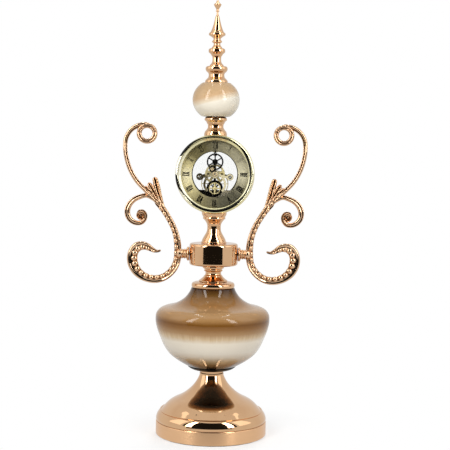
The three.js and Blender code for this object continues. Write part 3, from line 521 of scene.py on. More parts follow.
def dial_finish(name):
    finish = Finish(name, Specular_IOR_Level=0.4)
    angle, radius, turn = around_dial(finish, finish.place())
    stops = [
        (0.0, srgb(118, 112, 88)), (0.06, srgb(146, 140, 112)), (0.16, srgb(172, 166, 138)),
        (0.25, srgb(226, 220, 186)), (0.32, srgb(160, 154, 126)), (0.37, srgb(88, 85, 68)),
        (0.46, srgb(90, 87, 68)), (0.54, srgb(128, 120, 88)), (0.60, srgb(158, 148, 104)),
        (0.67, srgb(226, 214, 160)), (0.75, srgb(244, 236, 196)), (0.80, srgb(214, 202, 148)),
        (0.86, srgb(116, 107, 66)), (0.94, srgb(96, 89, 54)), (1.0, srgb(118, 112, 88)),
    ]
    fan = finish.ramp(stops, turn)
    grain = finish.noise(finish.vector(radius * 5.0, angle * 1.5, 0.0), 1.0, 3.0, 0.6)
    shade = finish.mixed(grain * 0.22, fan, srgb(100, 94, 68))
    return finish.feed(Base_Color=shade, Roughness=0.34 + grain * 0.12, Normal=finish.bump(grain, 0.02))


dial_brass = dial_finish("dial_brushed")

# %% [markdown]
# ## Front ring
#
# The front ring's round lip and the step behind it are the most mirror-like things on the clock, and
# their shade and reflections are partly painted into the colour. The step is so narrow that the room
# never reaches its bottom, so a painted black band stands for the shade in it, and that band widens
# into black arcs on the lip, near eight and ten o'clock, as a painted reflection of the dark room.
# Two ramps round the hands' axis give the band's inner and outer edge. A painted pale reflection
# makes the lip paler on the left, and the cone inside it has a thin lacquer that dulls it a little.

# %% Front ring finish
LINE_ZERO, LINE_SPAN, LINE_BLUR = 43.0, 9.0, 0.012
CONE_RADIUS = 46.3
# edges of the painted black band (painted shade in the step, painted reflection on the lip), by share of a
# turn
painted_band_edges = [
    (0.0, 46.5, 47.8), (0.05, 46.6, 47.6), (0.10, 46.3, 47.9), (0.125, 45.9, 48.1), (0.165, 44.7, 47.8),
    (0.20, 44.2, 46.8), (0.25, 44.3, 46.2), (0.30, 45.0, 46.6), (0.345, 45.0, 46.5), (0.37, 44.3, 47.0),
    (0.42, 44.2, 48.1), (0.46, 44.7, 48.3), (0.50, 44.9, 48.3), (0.55, 45.2, 48.2), (0.60, 44.9, 47.6),
    (0.64, 45.4, 46.5), (0.665, 46.4, 47.8), (0.685, 47.0, 49.6), (0.72, 47.1, 50.9), (0.745, 48.6, 51.2),
    (0.752, 51.2, 51.2), (0.82, 51.2, 51.2), (0.828, 48.0, 51.2), (0.86, 46.9, 50.9), (0.90, 47.6, 50.3),
    (0.94, 47.8, 49.4), (0.97, 47.2, 48.7), (1.0, 46.5, 47.8),
]


def grey(stops):
    return [(at, (level, level, level)) for at, level in stops]


def gold_with_painted_reflections(name):
    finish = Finish(name)
    where = finish.place()
    angle, radius, turn = around_dial(finish, where)
    inner, outer = (
        finish.ramp(grey((row[0], (row[k] - LINE_ZERO) / LINE_SPAN) for row in painted_band_edges), turn)
        for k in (1, 2)
    )
    at = (radius - LINE_ZERO) / LINE_SPAN
    past_inner, past_outer = ((at - edge).rise(-LINE_BLUR, LINE_BLUR) for edge in (inner, outer))
    # painted shade and reflection: a black band in the narrow step that widens into dark arcs on the lip
    line = past_inner * (1.0 - past_outer)
    # painted reflection: a pale, nearly white band on the lip, mostly on its left
    pale = finish.ramp(grey([
        (0.0, 0.1), (0.14, 0.1), (0.22, 0.45), (0.32, 0.45), (0.40, 0.1), (0.55, 0.15), (0.66, 0.75),
        (0.78, 0.9), (0.86, 0.3), (1.0, 0.1),
    ]), turn)
    smudge = smudged(finish, where)
    gold = finish.mixed(smudge * 0.35, YELLOW, YELLOW_DEEP)
    gold = finish.mixed(pale, gold, srgb(254, 251, 232))
    return finish.feed(
        Base_Color=finish.mixed(line, gold, srgb(14, 13, 8)),
        Metallic=0.55 + radius.rise(CONE_RADIUS, CONE_RADIUS + 0.5) * (1.0 - pale * 0.8) * 0.45,
        Roughness=0.07 + smudge * 0.04,
    )


bezel_gold = gold_with_painted_reflections("front_ring_polish")
print("front ring finish:", bezel_gold.name)

# %% [markdown]
# ## Glass, plastic, foam and the cast weight
#
# Flat glass is clearest as a mix: mostly see-through, and a mirror where the eye grazes it, which is
# what Fresnel works out. The plates of the movement are clear acrylic, fainter still. Knob and battery
# cap are black plastic with a light mould grain. The pad is foam rubber and the weight in
# the foot is cast cement: neither shows on a standing clock, but both have their own surface.

# %% Clear sheet and the plain materials
def clear_sheet(name, share, tint):
    finish = Finish(name)
    tree = finish.tree
    gloss = finish.node("ShaderNodeBsdfGlossy", None, {"Color": (1.0, 1.0, 1.0, 1.0), "Roughness": 0.02})
    through = finish.node("ShaderNodeBsdfTransparent", None, {"Color": (*tint, 1.0)})
    edge = finish.node("ShaderNodeFresnel", None, {"IOR": 1.45})
    wipe = finish.noise(finish.place(), 0.04, 3.0)
    mirrored = edge * share * (0.85 + wipe * 0.3)
    both = finish.node("ShaderNodeMixShader", None, {0: mirrored, 1: through, 2: gloss})
    tree.links.new(both.socket, tree.nodes["Material Output"].inputs["Surface"])
    tree.nodes.remove(finish.shader)
    return finish.material


def grained(name, colour, deep, roughness, scale, depth, gloss=0.5):
    finish = Finish(name, Specular_IOR_Level=gloss)
    where = finish.place()
    grain = finish.noise(where, scale, 3.0)
    return finish.feed(
        Base_Color=finish.mixed(grain, colour, deep),
        Roughness=roughness + grain * 0.1,
        Normal=finish.bump(grain, depth),
    )


lens_glass = clear_sheet("lens_glass", 0.3, (1.0, 1.0, 1.0))
clear_plate = clear_sheet("clear_acrylic", 0.08, (0.996, 0.998, 0.996))
black_plastic = grained("black_plastic", srgb(30, 30, 31), srgb(16, 16, 17), 0.36, 2.2, 0.02)
foam = grained("foam_rubber", srgb(52, 50, 48), srgb(30, 29, 28), 0.9, 1.6, 0.25)
cement = grained("cast_cement", srgb(172, 167, 158), srgb(132, 128, 120), 0.85, 0.5, 0.2)
print("clear and plain materials are ready")

# %% [markdown]
# ## Turned pieces
#
# Everything from foot to tip that is round was made on a lathe or a spinning chuck, so it is one
# outline swung round an axis. The Screw modifier could do that, but an outline built in numpy gives
# exact control of the two things that sell a turned piece: curves that flow, and edges that are
# crisp but never razor sharp. An outline is a list of runs. A run of two points is straight, a
# longer one is a smooth curve through its points, and where two runs meet the corner is rounded by a
# fraction of a millimetre, so that it catches a thin line of light. `chain` writes such runs with
# every corner named once: a point draws a straight line to it, a list of points a curve.

# %% Outlines from runs
def chain(start, *steps):
    """Runs from a start: straight to each point, and as a smooth curve through each list of points."""
    runs, here = [], start
    for step in steps:
        points = step if isinstance(step, list) else [step]
        runs.append([here, *points])
        here = points[-1]
    return runs


def smooth_run(points, step):
    """Points about step apart on a smooth curve through the given ones."""
    p = np.array(points, float)
    if len(p) == 2:
        return p
    gaps = np.linalg.norm(np.diff(p, axis=0), axis=1)
    at = np.concatenate([[0], np.cumsum(gaps)])
    slope = np.empty_like(p)
    inner = (p[1:] - p[:-1]) / gaps[:, None]
    share = gaps[1:] / (gaps[1:] + gaps[:-1])
    slope[1:-1] = inner[:-1] * share[:, None] + inner[1:] * (1 - share)[:, None]
    slope[0] = 1.5 * inner[0] - 0.5 * slope[1]
    slope[-1] = 1.5 * inner[-1] - 0.5 * slope[-2]
    line = []
    for i, gap in enumerate(gaps):
        count = max(2, int(round(gap / step)))
        s = np.linspace(0, 1, count, endpoint=False)[:, None]
        line.append(
            (2 * s**3 - 3 * s**2 + 1) * p[i] + (s**3 - 2 * s**2 + s) * gap * slope[i]
            + (3 * s**2 - 2 * s**3) * p[i + 1] + (s**3 - s**2) * gap * slope[i + 1]
        )
    return np.vstack([*line, p[-1:]])


def cut_back(line, amount):
    """The line without its last stretch of that length."""
    lengths = np.linalg.norm(np.diff(line, axis=0), axis=1)
    amount = min(amount, 0.45 * lengths.sum())
    keep = lengths.sum() - amount
    run = np.cumsum(lengths)
    k = int(np.searchsorted(run, keep))
    start = run[k] - lengths[k]
    end = line[k] + (line[k + 1] - line[k]) * (keep - start) / lengths[k]
    return np.vstack([line[: k + 1], end]) if keep > start + 1e-9 else line[: k + 1]


def outline(runs, step=0.7, corner=0.35, closed=False):
    """One line through all the runs, with a small round where two of them meet."""
    lines = [smooth_run(run, step) for run in runs]
    count = len(lines)
    trimmed = []
    for i, line in enumerate(lines):
        if i < count - 1 or closed:
            line = cut_back(line, corner)
        if i > 0 or closed:
            line = cut_back(line[::-1], corner)[::-1]
        trimmed.append(line)
    out = []
    for i, line in enumerate(trimmed):
        out.append(line)
        if i < count - 1 or closed:
            start, end, tip = line[-1], trimmed[(i + 1) % count][0], lines[i][-1]
            s = np.array([0.25, 0.5, 0.75])[:, None]
            out.append((1 - s) ** 2 * start + 2 * s * (1 - s) * tip + s**2 * end)
    return np.vstack(out)


# %% From outline to solid
MERGE = 0.001 * MM
SHARP_DEGREES = 38.0


def new_mesh(name, verts, faces=(), edges=(), material=None):
    """A mesh in metres from points in millimetres."""
    mesh = bpy.data.meshes.new(name)
    mesh.from_pydata([tuple(v) for v in np.asarray(verts, float) * MM], edges, faces)
    if material:
        mesh.materials.append(material)
    return mesh


def tidy_faces(mesh, sharp_angle=SHARP_DEGREES):
    """The same mesh with doubles merged, every face pointing out and sharp edges marked."""
    work = bmesh.new()
    work.from_mesh(mesh)
    bmesh.ops.remove_doubles(work, verts=work.verts, dist=MERGE)
    bmesh.ops.dissolve_degenerate(work, edges=work.edges, dist=MERGE)
    bmesh.ops.recalc_face_normals(work, faces=work.faces)
    work.to_mesh(mesh)
    work.free()
    mesh.polygons.foreach_set("use_smooth", [True] * len(mesh.polygons))
    mesh.set_sharp_from_angle(angle=math.radians(sharp_angle))
    mesh.update()
    return mesh


def clean_mesh(name, verts, faces):
    """A new mesh in millimetres, tidied."""
    return tidy_faces(new_mesh(name, verts, faces))


def revolve(name, line, facets=144, axis="Z", centre=(0.0, 0.0, 0.0), closed=True):
    """A mesh from [radius, level] points swung round an axis. A closed line makes a bored ring."""
    line = np.asarray(line, float)
    turn = np.arange(facets) * math.tau / facets
    rings = np.stack([
        line[:, 0][:, None] * np.cos(turn), line[:, 0][:, None] * np.sin(turn),
        np.repeat(line[:, 1][:, None], facets, axis=1),
    ], axis=-1)
    order = {"Z": (0, 1, 2), "Y": (0, 2, 1), "X": (2, 0, 1)}[axis]
    verts = rings.reshape(-1, 3)[:, order] + np.array(centre)
    faces = []
    rows = len(line)
    for i in range(rows if closed else rows - 1):
        low, high = i * facets, ((i + 1) % rows) * facets
        for k in range(facets):
            m = (k + 1) % facets
            faces.append((low + k, low + m, high + m, high + k))
    return clean_mesh(name, verts, faces)


# %% Handing a piece to the frame
def hand_over(name, mesh, material, slot, body, *replaced):
    """Makes the object, gives it its finish and its body, and hides the nodes that it stands for."""
    piece = as_object(name, mesh)
    mesh.materials.clear()
    mesh.materials.append(material)
    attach(piece, body)
    if replaced:
        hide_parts(*replaced)
    print(f"{name}: {len(mesh.polygons)} faces on {body}")


def fitted(points, node):
    """An outline drawn from level 0, moved to the foot of its node and stretched to its size."""
    low, high = span(node)
    flat = np.vstack([np.array(run, float) for run in points])
    wide = high[0] / flat[:, 0].max()
    tall = (high[2] - low[2]) / (flat[:, 1].max() - flat[:, 1].min())
    return [[(r * wide, low[2] + (z - flat[:, 1].min()) * tall) for r, z in run] for run in points]

# %% [markdown]
# ## Insides of the turned pieces
#
# A lathe piece is rarely solid. Most here have one straight bore for the tie rod that holds the
# stand together, the foot, the vase and the ball are shells with a wall, and the finial's top
# pieces are solid. Each of these four insides is a way to finish the outline before it is swung.

# %% Four kinds of inside
ROD_GAP = 0.4
lower_bore = span("lower_rod")[1][0] + ROD_GAP
upper_bore = span("upper_rod")[1][0] + ROD_GAP
rod_top = span("upper_rod")[1][2] + ROD_GAP


def bored(radius):
    def finish_line(runs):
        foot, top = runs[0][0], runs[-1][-1]
        return [*runs, *chain(top, (radius, top[1]), (radius, foot[1]), foot)], True
    return finish_line


def walled(wall):
    def finish_line(runs):
        outer = outline(runs, step=2.5, corner=0.0)
        way = np.gradient(outer, axis=0)
        way /= np.linalg.norm(way, axis=1)[:, None]
        inner = outer + wall * np.stack([-way[:, 1], way[:, 0]], axis=1)
        keep = (inner[:, 1] > outer[0, 1] + 0.2) & (inner[:, 1] < outer[-1, 1] - 0.2)
        inner = inner[keep][::-1]
        head = (inner[0][0], outer[-1, 1])
        tail = (inner[-1][0], outer[0, 1])
        return [*runs, *chain(runs[-1][-1], head, [*map(tuple, inner[1:-1]), tail], runs[0][0])], True
    return finish_line


def blind(radius, depth_to):
    def finish_line(runs):
        foot, top = runs[0][0], runs[-1][-1]
        hole = chain((0, depth_to), (radius, depth_to), (radius, foot[1]), foot)
        return [*hole, *runs, [top, (0, top[1])]], False
    return finish_line


def solid(runs):
    foot, top = runs[0][0], runs[-1][-1]
    return [[(0, foot[1]), foot], *runs, [top, (0, top[1])]], False


def turned_mesh(name, runs, inside, facets, corner, step):
    whole, closed = inside(runs)
    line = outline(whole, step, corner, closed)
    return revolve(name, line, facets, closed=closed)


def turned(name, node, runs, material, slot, inside, facets=144, corner=0.35, step=0.7):
    """A turned piece that stands for a node of the stand."""
    mesh = turned_mesh(name, fitted(runs, node), inside, facets, corner, step)
    hand_over(name, mesh, material, slot, "stand", node)


print(f"bores {lower_bore:.1f} and {upper_bore:.1f} mm, the upper rod ends at {rod_top:.1f} mm")

# %% [markdown]
# ## Foot
#
# The foot is two spun shells. A satin ring stands on the floor, with a fine bevel on its top edge that
# catches a line of light, and a polished bell stands on it: a rounded shoulder, a narrow ledge, a dome
# and a hollow curve that runs up into a slim trumpet with a short straight collar. All the dark rings
# on it in a photograph are reflections of the vase above, so nothing is painted.

# %% Ring and bell
rim_radius = span("base_rim")[1][0]
SHEET_WALL = 1.8
RIM_FLANGE = 2.4
RIM_LEDGE_WIDTH = 5.0


def rim_inside(runs):
    foot, top = runs[0][0], runs[-1][-1]
    ledge, wall = rim_radius - RIM_LEDGE_WIDTH, rim_radius - SHEET_WALL
    under = top[1] - RIM_FLANGE
    inside = chain(top, (ledge, top[1]), (ledge, under), (wall, under), (wall, foot[1]), foot)
    return [*runs, *inside], True


rim_runs = chain((71.1, 0), (71.7, 0.7), (71.7, 16.4), (71.4, 17.0), (70.9, 17.3), (70.2, 17.3))
turned("base_ring_satin", "base_rim", rim_runs, satin_rose, "satin_rose", rim_inside, facets=240)

bell_runs = chain(
    (71.0, 0),
    [(71.5, 1.5), (71.7, 3.1), (71.3, 5.0), (70.5, 7.3), (69.1, 9.8), (67.2, 12.1)],
    (64.9, 13.3),
    [
        (61.4, 17.0), (57.8, 20.9), (53.8, 24.3), (48.8, 27.3), (42.6, 30.3), (36.6, 33.8), (30.6, 38.4),
        (25.2, 43.6), (20.6, 49.4), (17.2, 55.4), (15.3, 60.2),
    ],
    (14.2, 60.8), (15.0, 65.3),
)
turned("base_bell_polished", "base_bell", bell_runs, rose_gold, "rose_gold", walled(SHEET_WALL), facets=240)

# %% [markdown]
# ## Seat, vase and cap
#
# The vase has a wide shoulder that turns in sharply and a straight, slanting neck zone above it. It
# stands in a black dish, and its mouth carries a plated flange with a shallow step turned into its
# top. The vase's outline is given as a few points of one flowing curve, with one soft corner where
# the shoulder breaks into the slope.

# %% Vase and its fittings
VASE_WALL = 4.5
seat_runs = chain((18, 0), [(23.5, 0.8), (28, 2.5), (30.4, 4.2)], (31, 4.6), (31, 5.2))
turned("vase_dish", "vase_seat", seat_runs, black_metal, "black_metal", bored(lower_bore), corner=0.2)

vase_line = [
    (31, 0), (39, 4.4), (48, 10.2), (56, 17), (62.4, 26), (67.8, 38), (72, 49.5), (73.9, 60.4),
    (72.9, 68.3), (69, 73.4), (63.3, 76.2), (56, 78), (50, 79.9), (44.4, 82.6), (39.4, 85.8), (35.3, 89.3),
    (31.9, 93.6), (29.3, 98), (28, 101.5),
]
turned("vase_body", "vase", [vase_line], vase_glaze, "vase_glaze", walled(VASE_WALL), facets=240, step=0.8)

cap_runs = chain(
    (26.4, 0),
    [(27.3, 0.5), (27.8, 1.7), (27.8, 4.4), (27.1, 5.9), (25.6, 6.9)],
    (23.6, 7.3), (23.2, 6.9), (22.6, 6.9), (22.2, 7.5), (18, 8.2), (14, 8.2),
)
turned(
    "vase_flange", "vase_cap", cap_runs, rose_gold, "rose_gold", bored(lower_bore), facets=192, corner=0.2,
    step=0.5,
)

# %% [markdown]
# ## Spool and hub
#
# The spool is a small baluster: a flared skirt, a waist, a ring and a collar. The hub is a plain drum
# with edges rounded by three millimetres, drilled on both sides for the screws that hold the arms.

# %% Spool
spool_runs = chain(
    (18.5, 0), (18.5, 1.0),
    [(15.6, 3.0), (12.2, 6.2)],
    (12.0, 7.0),
    [(10.5, 8.6), (10.1, 10.4), (10.5, 12.4)],
    (11.3, 12.8),
    [(12.2, 13.6), (11.5, 14.5)],
    (11.6, 15.2),
    [(12.3, 16.4), (13.7, 16.9)],
    [(13.9, 17.8), (13.9, 19.2), (13.5, 20.5)],
)
turned(
    "spool_turned", "spool", spool_runs, rose_gold, "rose_gold", bored(lower_bore), corner=0.15, step=0.35,
)

# %% [markdown]
# ## Cutting one piece by another
#
# The neck below the case and the collar above it end in a saddle that fits the round case, and the hub
# is drilled from the sides. Those cuts are booleans: the cutter is made as a mesh, used once and
# removed again. `fused` and `carved` below are that step, with the Manifold solver, which is
# quick and gives a closed mesh from closed meshes.

# %% Booleans
def baked(holder, *helpers):
    """The mesh that an object's modifiers give. The object and its helpers are removed."""
    ready = holder.evaluated_get(bpy.context.evaluated_depsgraph_get())
    mesh = bpy.data.meshes.new_from_object(ready)
    for made in (holder, *helpers):
        bpy.data.objects.remove(made)
    return mesh


def combined(mesh, others, operation):
    """The mesh joined with, or cut by, the other meshes, one after another."""
    base = as_object("boolean_base", mesh)
    helpers = [as_object("boolean_helper", other) for other in others]
    for helper in helpers:
        step = base.modifiers.new("step", "BOOLEAN")
        step.operation, step.object, step.solver = operation, helper, "MANIFOLD"
    return baked(base, *helpers)


def fused(mesh, *others):
    return combined(mesh, others, "UNION")


def carved(mesh, *others):
    return combined(mesh, others, "DIFFERENCE")


def cylinder(radius, low, high, axis, centre=(0, 0, 0), facets=48):
    """A plain drill or post as a mesh, for cutting and joining."""
    line = [(0, low), (radius, low), (radius, high), (0, high)]
    return revolve("tool", line, facets, axis, centre, closed=False)


# %% Hub, drilled for the studs of the arms
stud_low, stud_high = span("arm_stud_right")
STUD_GAP = 0.4
hub_low, hub_high = span("hub")
HUB_Z = (hub_low[2] + hub_high[2]) / 2
hub_runs = fitted(chain(
    (28.3, 0),
    [(29.8, 0.4), (30.9, 1.5), (31.3, 3.0)],
    (31.3, 25.4),
    [(30.9, 26.9), (29.8, 28.0), (28.3, 28.4)],
), "hub")
hub_mesh = turned_mesh("hub", hub_runs, bored(lower_bore), facets=240, corner=0.3, step=0.5)
stud_radius = stud_high[2] - HUB_Z + STUD_GAP
drills = [
    cylinder(stud_radius, *sorted((side * (stud_low[0] - 1), side * (hub_high[0] + 4))), "X", (0, 0, HUB_Z))
    for side in (1, -1)
]
hand_over("hub_drum", tidy_faces(carved(hub_mesh, *drills)), rose_gold, "rose_gold", "stand", "hub")

# %% [markdown]
# ## Neck and collar
#
# Both are balusters with a waist, beads and thin fillets, and both are cut to the round case. The
# cutter follows the case: its ring in front is a little wider than its drum, and so is the
# cover behind.

# %% The case as a cutter
CASE_GAP = 0.3
bezel, drum, cover = Box("bezel"), Box("case_drum"), Box("back_cover")
bezel_room, drum_room, cover_room = (part.rim + CASE_GAP for part in (bezel, drum, cover))
case_line = [
    (0, bezel.front), (bezel_room, bezel.front), (bezel_room, drum.front), (drum_room, drum.front),
    (drum_room, drum.back), (cover_room, drum.back), (cover_room, cover.back), (0, cover.back),
]
print(f"the case reaches {bezel.rim:.1f} mm from its middle")


# %% Neck and collar
def saddled(name, node, runs, bore):
    """A turned piece that ends in a saddle against the case."""
    mesh = turned_mesh(name, runs, bored(bore), facets=144, corner=0.2, step=0.4)
    cutter = revolve("case_cutter", case_line, 240, "Y", (0, 0, DIAL_Z), closed=False)
    hand_over(name, tidy_faces(carved(mesh, cutter)), rose_gold, "rose_gold", "stand", node)


def lifted(runs, level):
    return [[(r, z + level) for r, z in run] for run in runs]


neck_runs = chain(
    (16.5, 0), (16.5, 1.4), (15.7, 2.0),
    [(14.7, 5.0), (12.6, 8.9), (10.6, 12.3)],
    (10.2, 13.0),
    [(9, 16.4), (8.7, 20), (9.2, 24.4), (11.4, 28.2), (13.4, 30.6)],
    (14.3, 31.1),
    [(14.6, 32.2), (14.3, 33.2)],
    (14.3, 33.9),
    [(15.7, 36.4), (16.2, 39.4)],
    (16.2, 44),
)
saddled("neck_turned", "neck", lifted(neck_runs, span("neck")[0][2]), lower_bore)

COLLAR_SKIRT, COLLAR_HEIGHT = 3.0, 25.0
collar_runs = chain(
    (14.7, -COLLAR_SKIRT), (14.7, 3.6), (14.3, 4.4),
    [(13.9, 5.8), (12, 8.1), (10.6, 10.2)],
    (10.2, 10.8),
    [(10.0, 13.2), (10.3, 15.4)],
    (11, 15.9),
    [(12, 18.2), (13.3, 19.6)],
    [(14.2, 20.3), (14.5, 21.6), (14.1, 23.2), (12.8, 24.5)],
    (11.5, COLLAR_HEIGHT),
)
collar_foot = span("ball_collar")[1][2] - COLLAR_HEIGHT
saddled("collar_turned", "ball_collar", lifted(collar_runs, collar_foot), upper_bore)

# %% [markdown]
# ## Ball and finial
#
# The ball is a squashed sphere, so its outline is the formula of an ellipse. The finial is five
# turned pieces on one rod, each smaller than the one below, and ends in a tulip tip a few millimetres
# wide. Beads and fillets as small as half a millimetre still matter here, because every one of
# them flashes once in a polished finial.

# %% Ball
BALL_WAIST, BALL_DROP, BALL_WALL = 30.4, 26.8, 4.0
BALL_STEPS = 26
ball_cut = (ball_high[2] - ball_low[2]) / 2
ball_line = [
    (BALL_WAIST * math.sqrt(1 - (h / BALL_DROP) ** 2), h + ball_cut)
    for h in np.linspace(-ball_cut, ball_cut, BALL_STEPS)
]
turned("ball_glazed", "ceramic_ball", [ball_line], ball_glaze, "ball_glaze", walled(BALL_WALL), facets=192)

# %% Finial
base_runs = chain(
    (14.6, 0), (14.6, 2.0), (14.2, 2.8),
    [(12.4, 4.8), (11.2, 6)],
    (10.7, 6.6),
    [(10.1, 9), (10.2, 11), (11.3, 12.8)],
    (11.9, 13.1),
    [(13.6, 15.2), (14.2, 17.4), (13.9, 19.4)],
    (12.8, 20.6),
)
stem_runs = chain(
    (9.2, 0), (9.2, 1), (8.8, 1.7),
    [(6.3, 4.8), (5.6, 9.2), (6, 12.6)],
    (6.7, 13),
    [(8.1, 15.4), (10.1, 17)],
    (10.7, 17.6),
    [(10.9, 19.8), (10.6, 21.4)],
    (9.4, 22.5),
)
cup_runs = chain(
    (6.9, 0), (6.7, 1.2),
    [(4.7, 3.8), (4.3, 5.4), (4.6, 6.6)],
    (5.3, 6.9),
    [(6.4, 7.9), (6.5, 8.9), (5.5, 10)],
    (4.9, 10.4),
    [(4.7, 12), (6.4, 13.8), (9.9, 16)],
    (10.7, 16.7),
    [(10.8, 17.9), (10.6, 18.9)],
    (9.8, 19.9),
)
spire_runs = chain(
    (8.6, 0), (8.3, 0.9),
    [(7.4, 2.8), (6.2, 5.8), (5, 9.6), (3.6, 15.2), (2.4, 20.4)],
    (1.7, 21.4),
    [(1.3, 23.4), (1.3, 25.4)],
)
tip_runs = chain(
    (1.5, 0),
    [(2.1, 0.7), (2.1, 1.6), (1.5, 2.6)],
    (1.5, 3.2),
    [(2.5, 5), (3.9, 7.2), (4.9, 9.4)],
    (4.7, 10),
    [(3.1, 11.3), (1.9, 12.4)],
    [(1.6, 13.6), (1.2, 14.8), (0.6, 15.1)],
)
finial = [
    ("finial_foot", "finial_base", base_runs, bored(upper_bore)),
    ("finial_baluster", "finial_stem", stem_runs, bored(upper_bore)),
    ("finial_bowl", "finial_cup", cup_runs, blind(upper_bore, rod_top)),
    ("finial_cone", "finial_spire", spire_runs, solid),
    ("finial_tulip", "finial_tip", tip_runs, solid),
]
for name, node, runs, inside in finial:
    turned(name, node, runs, rose_gold, "rose_gold", inside, facets=96, corner=0.12, step=0.3)

# %% [markdown]
# ## Arms
#
# Each arm is one casting: a stem that rises to a rolled eye, a leaf of three petals, a scroll that
# curls into a bud, and a broad band with a row of beads that sweeps down past the hub and up again
# into a hook. A modeller could push one long mesh into that shape, but the casting is easier
# to read, and to change, as a few swept strips that are then fused. A strip is a route in the plane of
# the arms and a section that is carried along it. Every section here is a set of rounded ridges on a
# thin web: a rail and a bead seat on the band, two unequal ridges on the stem and the scroll, and
# raised rims round a hollow on the petals.

# %% Sweeping a ridged section along a route
def along(route, steps):
    """Points, their way and their share of the route, evenly spaced by length."""
    fine = smooth_run(route, 0.4)
    lengths = np.concatenate([[0], np.cumsum(np.linalg.norm(np.diff(fine, axis=0), axis=1))])
    at = np.linspace(0, lengths[-1], steps + 1)
    points = np.stack([np.interp(at, lengths, fine[:, k]) for k in (0, 1)], axis=1)
    way = np.gradient(points, axis=0)
    return points, way / np.linalg.norm(way, axis=1)[:, None], at / lengths[-1], lengths[-1]


def by_route_point(route, values, share):
    """Values given at a route's points, read at shares of its length."""
    fine = np.array(route, float)
    lengths = np.concatenate([[0], np.cumsum(np.linalg.norm(np.diff(fine, axis=0), axis=1))])
    return np.interp(share, lengths / lengths[-1], values)


def ridged(half, ridges, web, samples=20):
    """Half thickness over the width of a section: rounded ridges that stand on a thin web."""
    across = -half * np.cos(np.pi * np.arange(samples + 1) / samples)
    edge = np.sqrt(np.maximum(0, 1 - (across / half) ** 2))
    thick = web * np.minimum(1, 2.2 * edge)
    for middle, reach, depth in ridges:
        inside = np.maximum(0, 1 - ((across - middle * half) / (reach * half)) ** 2)
        thick = np.maximum(thick, depth * np.sqrt(inside))
    return across, thick


def swept(name, route, halves, ridges, web, steps, samples=20):
    """A closed strip along a route, with rounded ends."""
    points, way, share, length = along(route, steps)
    half = by_route_point(route, halves, share)
    verts, faces = [], []
    ring = 2 * samples
    for i, ((x, z), (dx, dz), h) in enumerate(zip(points, way, half)):
        to_end = min(share[i], 1 - share[i]) * length
        swell = math.sqrt(1 - (1 - min(1, (to_end + 0.02) / h)) ** 2) if to_end < h else 1.0
        across, thick = ridged(h * swell, ridges, web * swell, samples)
        thick = thick * swell
        section = [*zip(across, thick), *zip(across[-2:0:-1], -thick[-2:0:-1])]
        verts += [(x - dz * u, t, z + dx * u) for u, t in section]
    for low in range(0, steps * ring, ring):
        high = low + ring
        faces += [(low + k, low + (k + 1) % ring, high + (k + 1) % ring, high + k) for k in range(ring)]
    faces += [tuple(range(ring)), tuple(range(steps * ring, (steps + 1) * ring))]
    return clean_mesh(name, verts, faces)


# %% Routes and sections of the right arm
arm_low, arm_high = span("arm_right")
BOSS_X = arm_low[0]
print(f"the arm starts {BOSS_X:.1f} mm from the axis and reaches {arm_high[0]:.1f} mm")


def from_boss(points):
    """Route points [out from the boss, up from the hub's axis] as [x, z] of the stand."""
    return [(BOSS_X + x, HUB_Z + z) for x, z in points]


stem_route = from_boss([
    (24.7, 58), (36.7, 70), (47.7, 81), (59.2, 93), (67.2, 106), (72.2, 120), (74.6, 136), (73.2, 149),
    (66.7, 159), (56.7, 164.6), (46.7, 165.6), (39.5, 162.4),
])
stem_halves = [2.2, 2.7, 2.9, 2.9, 2.9, 2.9, 2.9, 3.0, 3.1, 3.2, 2.9, 1.6]
band_route = from_boss([
    (37, 71.5), (31.4, 65.4), (24.7, 57), (18.4, 47.4), (12.7, 37.4), (8, 25.6), (5.4, 12.2), (5.2, 0),
    (6, -9.5), (9.6, -18.6), (16.1, -26.3), (24.7, -31.8), (34.3, -33.8), (43.4, -32.6), (51.6, -28.9),
    (58.5, -22.7), (62.8, -14.5), (64, -5.6), (62, 2.4), (57, 8), (51.1, 9.6), (44.9, 8.4), (38, 4.6),
    (32, 2.6), (26.8, 4.0),
])
band_halves = [
    1.6, 4.4, 4.0, 3.8, 3.9, 4.05, 4.6, 4.6, 4.75, 4.8, 4.8, 4.9, 5.1, 5.3, 5.7, 6.3, 6.8, 6.85, 6.5, 6.35,
    5.6, 4.7, 3.2, 1.9, 1.2,
]
scroll_route = from_boss([
    (28.7, 63), (37.2, 70), (46.7, 74.4), (55.4, 72.4), (63.4, 68.2), (68.6, 62), (70.9, 54.3),
    (69.7, 47), (65.2, 41.5), (59, 38.8), (52.7, 39.4), (48.5, 43.8), (47.7, 49.4), (51.1, 53.8),
    (55.7, 53.4), (57.1, 50),
])
scroll_halves = [2.4, 2.6, 2.9, 3.2, 3.5, 3.7, 3.7, 3.6, 3.4, 3.1, 2.9, 2.8, 2.7, 2.5, 2.2, 1.8]
petal_routes = [
    (from_boss([(24.5, 58), (29.4, 72), (33.2, 86), (36.4, 98.4)]), [2.4, 3.6, 4.2, 3.4]),
    (from_boss([(26.5, 60), (33.4, 73), (39.6, 83.8), (44.3, 91)]), [2.2, 3.2, 3.6, 2.6]),
    (from_boss([(28, 61), (36.5, 73), (43.4, 81), (48.6, 86.4)]), [1.8, 2.4, 2.6, 1.9]),
]
rail_ridges = [(-0.64, 0.36, 3.1), (-0.1, 0.52, 2.4)]
two_ridges = [(-0.28, 0.72, 2.9), (0.74, 0.26, 2.0)]
trough_ridges = [(-0.6, 0.4, 2.8), (0.6, 0.4, 2.8)]

# %% [markdown]
# ## The row of beads
#
# The beads follow the band and grow and shrink with it. That is what Geometry Nodes are for: the
# tree takes a line of points that each carry three lengths and a turn, and puts one ball on every
# point, stretched and turned by them. The beads overlap the band's inner edge on purpose, so that the
# fused casting has the knobbly rim of the real one.

